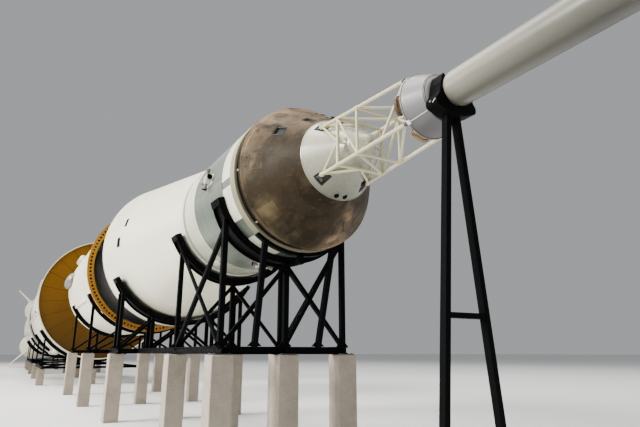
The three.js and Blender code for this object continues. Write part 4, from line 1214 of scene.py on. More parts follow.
class ROCKET_OT_service_ring(bpy.types.Operator):
    """Builds the ring that holds the heat shield: dark gap, cream band and radiator panels"""

    bl_idname = "rocket.service_ring"
    bl_label = "Service module's front ring"

    def execute(self, context):
        r, sides = CRAFT_R, context.scene.rocket_detail.sides
        cream = lathe([
            (CREAM_END, 0.18), (CREAM_END, r + 0.0002), (-0.056, r + 0.0006), (-0.0545, r),
            *groove(-0.044, r, 0.0005, 0.0005), (-0.035, r), (-0.0325, r - 0.0008),
            (RING_FRONT, r - 0.003), (RING_FRONT, 0.1885), (RING_FRONT - 0.002, 0.18),
        ], sides)
        piece("service_cream_ring", [cream], "ring_cream")
        # Painted shade: a near-black hoop fills the gap between the heat shield and the cream ring.
        gap = hoop([(RING_FRONT - 0.004, 0.15), (RING_FRONT - 0.004, 0.188), (RING_STEP, 0.188),
                    (RING_STEP, 0.1745)], sides)
        piece("service_gap", [gap], "dark_hollow")
        clip = box(-0.006, 0.0055, -0.0022, 0.0022, -0.004, 0.0022)
        piece("service_gap_clips", on_side(clip, -0.02, 0.188, CLIP_ANGLES), "bright_steel", 0.0006)
        piece("service_front_ring", [ring(BAND_END, CREAM_END, 0.15, r - 0.001, sides)], "silver_skin")
        plates = [panel(BAND_END + 0.0012, CREAM_END - 0.001, side * a0, side * a1, r - 0.001, 0.0012, 0.001)
                  for a0, a1 in RADIATORS for side in PAIR]
        piece("service_radiators", plates, "radiator_white")
        return {"FINISHED"}


class ROCKET_OT_service_body(bpy.types.Operator):
    """Builds the service module's silvery drum of curved panels, its white aft band and joint"""

    bl_idname = "rocket.service_body"
    bl_label = "Service module's body"

    def execute(self, context):
        r, detail = CRAFT_R, context.scene.rocket_detail
        sides, half = detail.sides, np.degrees(detail.seam / 2 / r)
        core = lathe([(JOINT, 0), (JOINT, r - 0.0012), (BAND_END - 0.0003, r - 0.0012),
                      (BAND_END - 0.0003, 0)], sides)
        seams = [12, 50, 89, 128, 170, 196, 232, 271, 310, 348, 372]
        plates = [panel(AFT_BAND + 0.0004, BAND_END - 0.0014, a + half, b - half, r - 0.0012, 0.0012, 0.001)
                  for a, b in zip(seams, seams[1:])]
        piece("service_body", [core, plates], "silver_skin")
        aft = hoop([(JOINT, r - 0.004), (JOINT, r), (-0.3945, r), (-0.394, r - 0.0006),
                    (-0.3928, r - 0.0006), (-0.3923, r), (AFT_BAND - 0.0004, r), (AFT_BAND, r - 0.0008),
                    (AFT_BAND, r - 0.004)], sides)
        piece("service_aft_band", [aft], "band_white")
        rear = ADAPTER_FRONT + 0.0003
        joint = hoop([(rear, 0.15), (rear, r), (-0.488, r + 0.001), (-0.486, r + 0.001), (-0.485, r),
                      (-0.476, r), (-0.475, r + 0.0006), (JOINT, r + 0.0006), (JOINT, 0.15)], sides)
        back = lathe([(rear, 0), (rear, 0.152), (-0.48, 0.152), (-0.48, 0)], sides)
        piece("service_joint", [joint, back], "joint_grey")
        lamps = on_side(disc(0.0042, 0.003), -0.14, r, (40, 140, 220, 320))
        ducts = on_side(box(-0.03, 0.03, -0.008, 0.008, -0.002, 0.004), -0.43, r, (62, 152, 242, 332))
        piece("service_ducts", [lamps, ducts], "radiator_white", 0.0014)
        return {"FINISHED"}


class ROCKET_OT_thrusters(bpy.types.Operator):
    """Mounts the four thruster blocks, each a chamfered housing with four dark-throated bells"""

    bl_idname = "rocket.thrusters"
    bl_label = "Service module's thrusters"

    def execute(self, context):
        cut = ((-1, -0.55), (-0.55, -1), (0.55, -1), (1, -0.55), (1, 0.55), (0.55, 1), (-0.55, 1), (-1, 0.55))
        heights = ((-0.003, 1.25), (0.0012, 1.25), (0.002, 1.12), (0.013, 1.04), (0.0165, 0.8))
        body = loft([[(x * 0.0125 * s, y * 0.0125 * s, z) for x, y in cut] for z, s in heights])
        base = box(-0.029, 0.029, -0.0175, 0.0175, -0.003, 0.0012)
        bell = nozzle(0.0205, 0.0032, 0.008, 0.0006, 24)
        throat = lathe([(0.009, 0), (0.009, 0.004), (0.0199, 0.0073), (0.0199, 0)], 24)
        bells, throats = [], []
        for turn in range(4):
            out = np.array([cos(turn * pi / 2), sin(turn * pi / 2), 0.085])
            place = pointing(out), (0, 0, 0.009) + out * 0.0105
            bells.append(carried(bell, *place))
            throats.append(carried(throat, *place))
        # The throats are painted shade: near-black cones that fill the bells' insides.
        for name, shapes, finish in (("housings", [body, base], "housing_white"),
                                     ("bells", bells, "bell_grey"), ("throats", throats, "dark_hollow")):
            piece(f"thruster_{name}", on_side(shapes, -0.226, CRAFT_R, SIDE_ANGLES), finish)
        return {"FINISHED"}


def bell_radius(t, throat, mouth):
    """A bell's radius at a share t of its length: it grows quickly at first, as t to the 0.62."""
    return throat + (mouth - throat) * np.asarray(t) ** 0.62


def engine_bell(top, chamber, chamber_end, size, thick):
    """An engine's chamber and open bell along -X from 0, its outside rippled by cooling tubes.

    size is the throat's place and radius, and the mouth's."""
    throat_at, throat, exit_at, mouth = size
    t, tubes = np.linspace(0.0, 1.0, 26), 60
    x, r = -(throat_at + t * (exit_at - throat_at)), bell_radius(t, throat, mouth)
    neck = [(-(chamber_end + (throat_at - chamber_end) * (1 - cos(a)) / 2),
             throat + (chamber - throat) * (1 + cos(a)) / 2) for a in np.linspace(0, pi, 8)[1:-1]]
    outside = [(-top, 0), (-top, chamber * 0.72), (-top - 0.002, chamber * 0.8),
               (-(top * 0.7 + chamber_end * 0.3), chamber), (-chamber_end, chamber), *neck, *zip(x, r)]
    inside = [*zip(x[::-1], r[::-1] - thick), (-throat_at - 0.001, 0)]
    heights = np.zeros(len(outside) + len(inside))
    heights[len(outside) - len(x) : len(outside)] = 0.012 * mouth
    return lathe([*outside, *inside], tubes * 4, ripple=(heights, tubes))


def bell_bands(size, shares, width, height):
    """Hoops round a bell at shares of its length."""
    throat_at, throat, exit_at, mouth = size
    made = []
    for t in shares:
        x, r = -(throat_at + t * (exit_at - throat_at)), float(bell_radius(t, throat, mouth))
        grow = (mouth - throat) * 0.62 * max(t, 0.05) ** -0.38 / (exit_at - throat_at) * width
        made.append(hoop([(x, r - 0.001), (x, r + height), (x - width, r + grow + height),
                          (x - width, r + grow - 0.001)], 64))
    return made


def bell_manifold(size, share, lift, sides, steps, r, high):
    """A round pipe that runs about a bell at a share of its length."""
    x = -(size[0] + share * (size[2] - size[0]))
    middle = float(bell_radius(share, size[1], size[3])) + lift
    return lathe([(x + r * cos(a), middle + high * sin(a)) for a in np.linspace(0, 2 * pi, steps)], sides)


class ROCKET_OT_service_engine(bpy.types.Operator):
    """Hangs the service module's engine inside the adapter: chamber, ribbed bell and its frame"""

    bl_idname = "rocket.service_engine"
    bl_label = "Service module's engine"

    def execute(self, context):
        place, size = (ADAPTER_FRONT, 0, 0), (0.02, 0.024, 0.285, 0.125)
        bell = engine_bell(0.0, 0.034, 0.012, size, 0.0025)
        hoops = bell_bands(size, (0.1, 0.24, 0.4, 0.58, 0.78, 0.975), 0.003, 0.0026)
        piece("service_engine", moved([bell, *hoops], place), "bell_grey", slot="engine_metal")
        struts = [rods(around(-0.005, 0.09, a), around(-0.06, 0.059, a + s), 0.0026)
                  for a, s in zip(spread(8, 22.5), (14, -14) * 4)]
        plate = ring(-0.004, -0.0005, 0.03, 0.14, 64)
        lines = [duct(0.003, 12, *around((-0.002, -0.02, -0.03, -0.024), (0.05, 0.052, 0.04, 0.026), a))
                 for a in (0, 120, 240)]
        piece("service_engine_frame", moved([*struts, plate, *lines], place), "dark_steel")
        return {"FINISHED"}


class ROCKET_OT_adapter(bpy.types.Operator):
    """Builds the tapered adapter: smooth skin with faint seams, slits, end rings and inner frames"""

    bl_idname = "rocket.adapter"
    bl_label = "Adapter"

    def execute(self, context):
        front, end, skin, r = ADAPTER_FRONT, ADAPTER_END, 0.005, adapter_radius
        seams = [(x + dx, r(x + dx * (sink == 0)) - sink) for x in (-1.002, -0.725) for dx, sink in
                 ((-0.0007, 0), (-0.0004, 0.0004), (0.0004, 0.0004), (0.0007, 0))]
        shell = hoop([(end, r(end) - skin), (end, r(end)), (end + 0.009, r(end)),
                      (end + 0.0095, r(end + 0.0095) - 0.0004), (end + 0.0105, r(end + 0.0105)), *seams,
                      (front - 0.01, r(front - 0.01)), (front - 0.009, r(front) + 0.0002),
                      (front, CRAFT_R), (front, CRAFT_R - skin)], context.scene.rocket_detail.sides)
        piece("adapter", [shell], "white_paint")
        strips = [panel(x0, x1, a - half, a + half, r, 0.0002, 0.001) for a in (38, 128, 218, 308)
                  for x0, x1, half in ((end + 0.012, -1.004, 0.14), (-0.999, front - 0.012, 0.16))]
        piece("adapter_seams", strips, "seam_grey")
        # The slits are painted shade: near-black plates on the skin.
        slits = [panel(x - h, x + h, a - w, a + w, r, 0.0003, 0.001) for a, x, h, w in (
            (75.6, -1.05, 0.014, 3.5), (284.4, -1.05, 0.014, 3.5), (91, -1.1, 0.017, 3.9),
            (269, -1.1, 0.017, 3.9))]
        piece("adapter_slits", slits, "dark_hollow")
        frames = []
        for x in np.linspace(end + 0.03, front - 0.05, 12):
            inner = r(x) - skin
            frames.append(hoop([(x, inner + 0.0003), (x, inner - 0.008), (x + 0.003, inner - 0.008),
                                (x + 0.003, inner - 0.0006)]))
        rails = spars((end + 0.01, r(end) - skin - 0.003), (front - 0.03, CRAFT_R - skin - 0.003), 0.004,
                      0.005, spread(16, 5))
        piece("adapter_frames", [frames, rails], "panel_grey")
        return {"FINISHED"}


# Stages

STRINGERS = {"stage1": (144, 0.008), "stage2": (144, 0.008), "stage3": (108, 0.006)}
THIRD_TANK, SECOND_TANK, OXIDISER_TANK, FUEL_TANK = (
    (-2.7733, -2.1103), (-5.39, -4.0303), (-8.11, -6.7503), (-9.429, -8.7783))

# Where the engines hang: the middle one of a stage and the four round it
THIRD_GIMBAL, SECOND_MIDDLE, FIRST_MIDDLE = (-3.246, 0, 0), (-5.706, 0, 0), (-10.053, 0, 0)
ENGINE_SPOTS = around(0, 0.462, DIAGONALS)
SECOND_GIMBALS, FIRST_GIMBALS = around(-5.706, 0.267, DIAGONALS), ENGINE_SPOTS + FIRST_MIDDLE


def holed_ring(x0, x1, inner, outer, count, hole):
    """A flat ring pierced by round holes: each sector is a plate whose rows run from a circle to its
    four straight edges, so that the hole's wall, both faces and both rims close on their neighbours."""
    steps = 16
    t = (np.arange(steps) + 0.5) / steps * 2 * pi
    c, s = np.cos(t), np.sin(t)
    reach = 1 / np.maximum(np.abs(c), np.abs(s))
    middle, half = (inner + outer) / 2, (outer - inner) / 2
    edge = middle + half * c * reach, pi / count * s * reach
    rim = middle + hole * c, hole * s / middle
    return [(np.concatenate([around(x, r, np.degrees(a) + turn) for x, (r, a) in
                             ((x1, edge), (x1, rim), (x0, rim), (x0, edge))]), grid_faces(4, steps))
            for turn in spread(count)]


class ROCKET_OT_handling_ring(bpy.types.Operator):
    """Fits the yellow handling ring with its round holes, rolled edge and lifting lugs"""

    bl_idname = "rocket.handling_ring"
    bl_label = "Yellow handling ring"

    def execute(self, context):
        rear, front = span("stage3_handling_ring")
        inner, outer, sides = 0.3085, THIRD_R + 0.011, 192
        shapes = [holed_ring(front - 0.004, front, inner, outer, context.scene.rocket_detail.bolts, 0.0061),
                  ring(rear, front + 0.0006, outer - 0.003, outer, sides),
                  ring(rear, rear + 0.0035, inner + 0.004, outer, sides),
                  on_side(box(rear, front - 0.001, -0.0012, 0.0012, inner + 0.004, outer - 0.002), 0, 0,
                          spread(48, 1.875)),
                  on_side(box(rear + 0.004, front + 0.004, -0.008, 0.008, outer - 0.012, outer + 0.006), 0,
                          0, DIAGONALS)]
        piece("stage3_handling_ring", shapes, "yellow_paint")
        # Painted shadow: a near-black ring behind the face, so that the holes show shade and not the yellow behind
        # them.
        shade = ring(front - 0.006, front - 0.0045, inner + 0.004, outer - 0.0034, sides)
        piece("handling_ring_shade", [shade], "dark_hollow")
        return {"FINISHED"}


def skirt(stage, name, r, height, sides, front=None):
    """Makes an open skirt whose stringers stand out between its two end rings; gives its two ends."""
    node, ends, (count, thick) = f"{stage}_{name}_skirt", 0.01, STRINGERS[stage]
    rear, front = span(node)[0], front or span(node)[1]
    flat = hoop([(rear, r - thick), (rear, r), (rear + ends, r), (rear + ends + 0.001, r - height),
                 (front - ends - 0.001, r - height), (front - ends, r), (front, r), (front, r - thick),
                 (front - ends, r - thick)], sides)
    piece(node, [flat, stringers(rear + ends, front - ends, r - height, height, count)], "white_paint")
    return rear, front


def stringers(x0, x1, radius, height, count, share=0.46):
    """Many equal ridges side by side along the axis, each a flat-topped bar with sloped ends."""
    across, taper = np.array([-0.5, -0.36, 0.36, 0.5]) * 360 / count * share, 0.004
    lift = np.outer([0, 1, 1, 0], [0, 1, 1, 0]) * height
    x, angles = np.array([[x0], [x0 + taper], [x1 - taper], [x1]]), spread(count)[:, None, None] + across
    top, under = around(x, radius + lift, angles), around(x, radius - 0.001, angles)
    points = np.concatenate([top.reshape(count, 16, 3), under.reshape(count, 16, 3)], axis=1)
    grid, upper = np.arange(16).reshape(4, 4), grid_faces(4, 4, wrap=False)
    loop = np.concatenate([grid[0], grid[1:, 3], grid[3, 2::-1], grid[2:0:-1, 0]])
    side = np.stack([loop + 16, loop, np.roll(loop, -1), np.roll(loop, -1) + 16], axis=1)
    return copies(points, np.concatenate([upper[:, ::-1], side, upper + 16]))


def side_fairing(rear, front, nose, r, half, height, *angles):
    """Round-backed fairings: half ellipses across, which close to a point ahead like a boat's bow."""
    t = np.linspace(0, pi, 17)
    rows = [(rear, 1.0), (front, 1.0)] + [(front + nose * sin(a), max(cos(a) ** 0.8, 0.03))
                                          for a in np.linspace(0, pi / 2, 8)[1:]]
    sections = [[(x, half * s * cos(a), r - 0.006 + (height * s + 0.006) * abs(sin(a)) ** 0.62) for a in t]
                for x, s in rows]
    return on_side(loft(sections), 0, 0, angles)


def dome(front, height, r, steps=14):
    """Profile points of a dome that bulges towards the nose: r cos a, height sin a."""
    return [(front + height * sin(a), r * cos(a)) for a in np.linspace(0, pi / 2, steps)]


def dome_strips(front, height, r, angles, thick=0.0012):
    """Strips that run over a dome from its rim to its crown."""
    a = np.linspace(0, 1.48, 14)[:, None]
    x, across = front + height * np.sin(a), r * np.cos(a)
    turn = np.degrees(np.minimum(0.0015 / across, 0.3)) * [-1, 0, 1]
    return [wall(x, angle + turn, across + thick, across - 0.001) for angle in angles]


def barrel(tank, r, seams, sides, half=0.004, depth=0.0008, share=0.75, back=()):
    """A tank's closed barrel with a groove at each seam, and an end of its own if back gives one."""
    low, high = tank
    grooves = [point for x in seams for point in groove(x, r, half, depth, share)]
    start = back[0][0] if back else low
    return lathe([(start, 0), *back, (low, r), *grooves, (high, r), (high, 0)], sides)


EAR_OUTLINE = [(0.036, -0.007), (0.036, 0.007), (0.002, 0.007), (-0.0045, 0.0055), (-0.0069, 0.001),
               (-0.0069, -0.001), (-0.0045, -0.0055), (0.002, -0.007)]


def small_ears(*spots):
    """The ears of a small gimbal at each spot, one on either side of its block."""
    pair = [carried(prism(EAR_OUTLINE, s * 0.0108, s * 0.0168), (X, Z, -Y)) for s in PAIR]
    return moved(pair, *spots)


class ROCKET_OT_third_stage(bpy.types.Operator):
    """Builds the third stage: open front skirt, dark dome, barrel, tunnels, aft skirt and cone"""

    bl_idname = "rocket.third_stage"
    bl_label = "Third stage"

    def execute(self, context):
        r, sides, height = THIRD_R, context.scene.rocket_detail.sides, 0.0026
        rear, front = skirt("stage3", "forward", r, height, sides)
        liner = hoop([(rear, r - 0.01), (rear, r - 0.0062), (front - 0.0006, r - 0.0062),
                      (front - 0.0006, r - 0.02), (front - 0.006, r - 0.022),
                      (front - 0.008, r - 0.01)], sides)
        ribs = rings(np.linspace(rear + 0.06, front - 0.05, 4), 0.003, r - 0.018, r - 0.009)
        boxes = on_side(box(-0.045, 0.045, -0.02, 0.02, -0.034, -0.008), front - 0.085, r, spread(12, 10))
        piece("stage3_skirt_liner", [liner, ribs, boxes], "dark_gloss", 0.0008)
        low, high = THIRD_TANK
        top = lathe([(high - 0.002, 0), *dome(high - 0.002, 0.32, r - 0.013)], sides)
        cap = lathe([(high + 0.302, 0), (high + 0.302, 0.074), (high + 0.3165, 0.068),
                     (high + 0.3172, 0)], 48)
        piece("stage3_dome", [top, dome_strips(high - 0.002, 0.32, r - 0.013, spread(9)), cap], "grey_dome")
        back = [(low - r * sin(a), (r - 0.013) * cos(a)) for a in np.radians([50, 42, 34, 25, 17, 8, 0])]
        tank = barrel(THIRD_TANK, r, (-2.64, -2.5, -2.36, -2.225), sides, 0.0006, 0.0006, 0.6, back)
        piece("stage3_tank", [tank], "white_paint")
        tunnels = [rings((low, high - 0.006), 0.006, r - 0.001, r + 0.0008, sides),
                   side_fairing(-2.77, -2.15, 0.03, r, 0.011, 0.01, 118, 298),
                   side_fairing(-2.77, -2.42, 0.05, r, 0.026, 0.024, 20, 200)]
        piece("stage3_tunnels", tunnels, "white_paint")
        rear, front = skirt("stage3", "aft", r, height, sides, low + 0.0003)
        ribs = rings(np.linspace(rear + 0.02, front - 0.03, 5), 0.003, r - 0.018, r - 0.0055)
        piece("stage3_aft_frames", ribs, "panel_grey")
        ports = [on_side(carried(nozzle(0.01, 0.006, 0.0088, 0.0008), pointing((-0.2, side, 0.5)),
                                 (0.02, side * 0.026, 0.022)), rear + 0.004, r, (84, 264)) for side in PAIR]
        control = side_fairing(rear + 0.004, front + 0.01, 0.052, r, 0.044, 0.035, 84, 264)
        piece("stage3_control_fairings", [control, ports], "bell_grey", slot="silver_paint")
        boost = side_fairing(rear + 0.004, front + 0.004, 0.026, r, 0.021, 0.029, 56, 236)
        piece("stage3_boost_fairings", boost, "gloss_white")
        low, high = span("stage3_thrust_cone")
        cone = lathe([(high, 0), (high, 0.2035), (-3.2, 0.044), (low + 0.043, 0.04), (low + 0.02, 0.04),
                      (low + 0.02, 0)])
        struts = spars((high - 0.004, 0.202), (-3.198, 0.046), 0.003, 0.006, spread(24))
        hoops = [ring(x, x + 0.003, t, t + 0.0055) for x, t in ((-3.08, 0.166), (-3.14, 0.103))]
        piece("stage3_thrust_cone", [cone, struts, hoops, small_ears(THIRD_GIMBAL)], "thrust_skin")
        spots, feet = (around(x, reach, spread(8, 20)) for x, reach in ((-3.06, 0.25), (-3.03, 0.19)))
        bottles = moved(ball((0, 0, 0), 0.034), *spots)
        piece("stage3_bottles", [bottles, rods(spots, feet, 0.005)], "bright_steel", slot="silver_paint")
        return {"FINISHED"}


class ROCKET_OT_second_stage(bpy.types.Operator):
    """Builds the second stage: ribbed skirts, seamed foam dome, white barrel, fairings and cone"""

    bl_idname = "rocket.second_stage"
    bl_label = "Second stage"

    def execute(self, context):
        r, detail = STAGE_R, context.scene.rocket_detail
        sides, height = detail.sides, detail.stringer
        rear, front = skirt("stage2", "forward", r, height, sides)
        rim, rise = front - 0.014, 0.0125
        closure = lathe([(rim - 0.03, 0), (rim - 0.03, r - 0.0079), *dome(rim, rise, r - 0.0079, 24)], sides)
        piece("stage2_dome", [closure], "orange_foam")
        piece("stage2_dome_seams", dome_strips(rim + 0.0004, rise, r - 0.009, spread(24, 5)), "foam_seam")
        tank = barrel(SECOND_TANK, r, (-5.15, -4.91, -4.67, -4.43, -4.19), sides)
        piece("stage2_tank", [tank], "white_paint")
        fairings = [side_fairing(rear - 1.56, front - 0.04, 0.026, r, 0.02, 0.018, 104),
                    side_fairing(-5.56, -4.9, 0.16, r, 0.04, 0.034, 0, 60, 150, 210, 300),
                    on_side(disc(0.014, 0.006, 28), -4.36, r, (70, 250)),
                    on_side(disc(0.014, 0.006, 28), -3.86, r, (30, 210))]
        piece("stage2_fairings", fairings, "gloss_white")
        # The tunnel's cap is painted shade: a near-black end.
        cap = lathe([(0, 0), (0, 0.014), (0.012, 0.014), (0.014, 0.011), (0.014, 0)], 28)
        cap = on_side(moved(cap, (front - 0.036, 0, r + 0.006)), 0, 0, 104)
        piece("stage2_tunnel_cap", cap, "dark_hollow")
        rear = skirt("stage2", "aft", r, height, sides)[0]
        band = ring(rear - 0.0002, rear + 0.0095, r - 0.006, r + 0.0006, sides)
        frames = rings((rear + 0.03, rear + 0.11, rear + 0.18), 0.004, r - 0.026, r - 0.0075, sides)
        piece("stage2_aft_band", [band, frames], "black_stripe")
        low, high = span("stage2_thrust_cone")
        plate = low + 0.042
        cone = lathe([(high, 0), (high, r - 0.0155), (plate + 0.0125, 0.3025), (plate, 0.3025), (plate, 0)],
                     sides)
        struts = spars((plate + 0.0135, 0.304), (high - 0.002, r - 0.0165), 0.0035, 0.009, spread(48))
        hoops = [ring(plate + x, plate + x + 0.004, t, t + 0.008, sides)
                 for x, t in ((0.058, 0.352), (0.108, 0.402), (0.156, 0.45))]
        spokes = [bars(around(plate - 0.001, 0.04, a), around(plate - 0.001, 0.298, a), 0.01, 0.008)
                  for a in spread(8)]
        rim = ring(plate - 0.006, plate, 0.286, 0.3025, sides)
        pad = lathe([(0.033, 0), (0.033, 0.03), (0.036, 0.034), (0.04, 0.034), (0.04, 0)], 32)
        mounts = [small_ears(*SECOND_GIMBALS), moved(pad, SECOND_MIDDLE, *SECOND_GIMBALS)]
        piece("stage2_thrust_cone", [cone, struts, hoops, spokes, rim, mounts], "thrust_skin")
        bottles = moved(ball((0, 0, 0), 0.028), *around(-5.56, 0.432, spread(8, 22.5)))
        lines = [duct(0.013, 16, *around((-5.66, -5.64, -5.59, -5.54), (0.29, 0.33, 0.4, 0.452),
                                         (a, a + 6, a + 9, a + 9))) for a in spread(5, 15)]
        piece("stage2_lines", [bottles, lines], "bright_steel", slot="silver_paint")
        return {"FINISHED"}


class ROCKET_OT_first_stage(bpy.types.Operator):
    """Builds the first stage's skirt, domed tank, corrugated middle, fuel tank and its markings"""

    bl_idname = "rocket.first_stage"
    bl_label = "First stage"

    def execute(self, context):
        r, detail = STAGE_R, context.scene.rocket_detail
        sides, height = detail.sides, detail.stringer
        rear, skirt_front = skirt("stage1", "forward", r, height, sides)
        frames = rings((rear + 0.06, rear + 0.17, rear + 0.28), 0.004, r - 0.022, r - 0.0075, sides)
        piece("stage1_skirt_frames", frames, "panel_grey")
        top = OXIDISER_TANK[1]
        closure = lathe([(top - 0.003, 0), (top - 0.003, r - 0.012), *dome(top, 0.33, r - 0.013, 20)], sides)
        cap = lathe([(top + 0.318, 0), (top + 0.318, 0.07), (top + 0.3296, 0.064), (top + 0.33, 0)], 48)
        strips = dome_strips(top, 0.33, r - 0.013, spread(8), 0.0008)
        piece("stage1_dome", [closure, strips, cap], "dome_skin")
        piece("stage1_oxidiser_tank", [barrel(OXIDISER_TANK, r, (-7.84, -7.57, -7.3, -7.03), sides)],
              "white_paint")
        rear, front = span("stage1_intertank")
        core = lathe([(rear, 0), (rear, r), (rear + 0.012, r), (rear + 0.013, r - height),
                      (front - 0.013, r - height), (front - 0.012, r), (front, r), (front, 0)], sides)
        waves = stringers(rear + 0.012, front - 0.012, r - height, height, 216, 0.62)
        piece("stage1_intertank", [core, waves], "white_paint")
        piece("stage1_fuel_tank", [barrel(FUEL_TANK, r, (-9.21, -8.995), sides)], "white_paint")
        quarters = [panel(-9.428, -9.214, a, a + 45, r, 0.0005, 0.001, 24) for a in spread(4, 22.5)]
        end_band = ring(skirt_front - 0.01, skirt_front, r - 0.002, r + 0.0006, sides)
        piece("stage1_black_bands", [quarters, end_band], "black_stripe")
        tunnels = [side_fairing(-9.42, -6.56, 0.04, r, 0.026, 0.022, 112, 292),
                   side_fairing(-9.42, -8.79, 0.06, r, 0.018, 0.018, 22, 158, 202, 338),
                   outline_strips(-6.64, -6.56, 30, 40, lambda x: r + 0 * x, 0.0006, 0.0016)]
        piece("stage1_tunnels", tunnels, "gloss_white")
        return {"FINISHED"}


def fairing_radius(x):
    """The radius of an engine's fairing at a station: it widens evenly to the tail."""
    return 0.041 + (-9.48 - x) / 0.71 * 0.174


class ROCKET_OT_thrust_section(bpy.types.Operator):
    """Finishes the tail: ribs on the drum and fairings, base heat shield plates, beams and fins"""

    bl_idname = "rocket.thrust_section"
    bl_label = "First stage's tail and fins"

    def execute(self, context):
        r, tail, front = STAGE_R, span("stage1_thrust_section")[0], -9.4293
        materials = frame["nodes"]["stage1_thrust_section"].data.materials
        materials.clear()
        materials.append(paint("white_paint"))
        edge = [(y * 0.0032, z) for y, z in
                ((-1, r - 0.001), (-0.7, r + 0.0022), (0.7, r + 0.0022), (1, r - 0.001))]
        rib = loft([[(x, y, z) for y, z in edge] for x in (tail + 0.012, front - 0.014)])
        ribs = [on_side(rib, 0, 0, middle + np.linspace(-17, 17, 15)) for middle in spread(4)]
        rows, arc = np.linspace(tail + 0.001, -9.5, 12)[:, None], np.linspace(-86, 86, 40)
        reach, wide, top = fairing_radius(rows), fairing_radius(tail), -9.54
        shells, rims = [], []
        for spot, angle in zip(ENGINE_SPOTS, DIAGONALS):
            shells += moved(wall(rows, angle + arc, reach + 0.0012, reach - 0.006), spot)
            rims += moved(wall([[tail - 0.0001], [tail + 0.006]], angle + arc, wide + 0.0016, wide - 0.006),
                          spot)
            ribs += spars((tail + 0.014, wide + 0.001), (top, fairing_radius(top) + 0.001), 0.0046, 0.004,
                          [angle + a for a in range(-80, 81, 10) if a], spot)
        rear_band = ring(front - 0.012, front, r - 0.001, r + 0.0008, 144)
        piece("stage1_tail_ribs", [ribs, rear_band], "white_paint")
        piece("stage1_fairings", shells, "white_paint")
        engines = np.vstack([np.zeros(3), ENGINE_SPOTS])
        collars = moved(ring(tail - 0.0001, tail + 0.003, 0.133, 0.142, 48), *engines)
        steps = np.arange(-8, 9) * 0.055
        tiles = np.array([(tail + 0.0004, y, z) for z in steps for y in steps])
        gaps = np.linalg.norm((tiles[:, None] - engines)[..., 1:], axis=2)
        tiles = tiles[(gaps > 0.178).all(axis=1) & (gaps[:, 0] < 0.455)]
        plates = blocks(tiles, (0.0012, 0.0265, 0.0265))
        piece("stage1_base_plates", [collars, rims, plates], "base_grey", 0.0004)
        beams = [bars((-10.012, 0, 0), around(-10.012, 0.43, a), 0.018, 0.05) for a in DIAGONALS]
        inner = rings((-10.1, -10.15), 0.006, r - 0.04, r - 0.011, 144)
        pad = lathe([(0.033, 0), (0.033, 0.046), (0.037, 0.052), (0.045, 0.052), (0.045, 0)], 32)
        piece("stage1_thrust_beams", [beams, inner, moved(pad, *(engines + FIRST_MIDDLE))], "thrust_skin")
        for k, angle in enumerate(DIAGONALS, 1):
            piece(f"stage1_fin_{k}", on_side(fin(tail), 0, 0, angle), "white_paint", 0.0006)
        return {"FINISHED"}


def fin(tail):
    """A fin as a loft from root to tip: each section is a wedge with a blunt nose and a square tail."""
    sections = []
    for s in (0, 0.02, 0.5, 0.98, 1):
        nose, half = -9.85 - 0.18 * s, 0.015 - 0.009 * s
        wedge = [(nose, 0), (nose - 0.012, 0.55), (nose - 0.05, 1), (tail + 0.01, 1), (tail, 0.8)]
        wedge += [(x, -y) for x, y in wedge[:0:-1]]
        sections.append([(x, y * half, (0.46 + fairing_radius(x)) * (1 - s) + 0.96 * s) for x, y in wedge])
    return loft(sections)


# Engines: each bell's throat station and radius, and its mouth's
BIG, SMALL = (0.1, 0.044, 0.547, 0.178), (0.062, 0.019, 0.294, 0.099)


def ears(near, far, half, back):
    """An engine's two gimbal ears, above and below, round-ended about the pin."""
    arc = [(half * cos(t), half * sin(t)) for t in np.linspace(-pi / 2, pi / 2, 9)]
    return [prism([(back, -half), *arc, (back, half)], s * near, s * far) for s in PAIR]


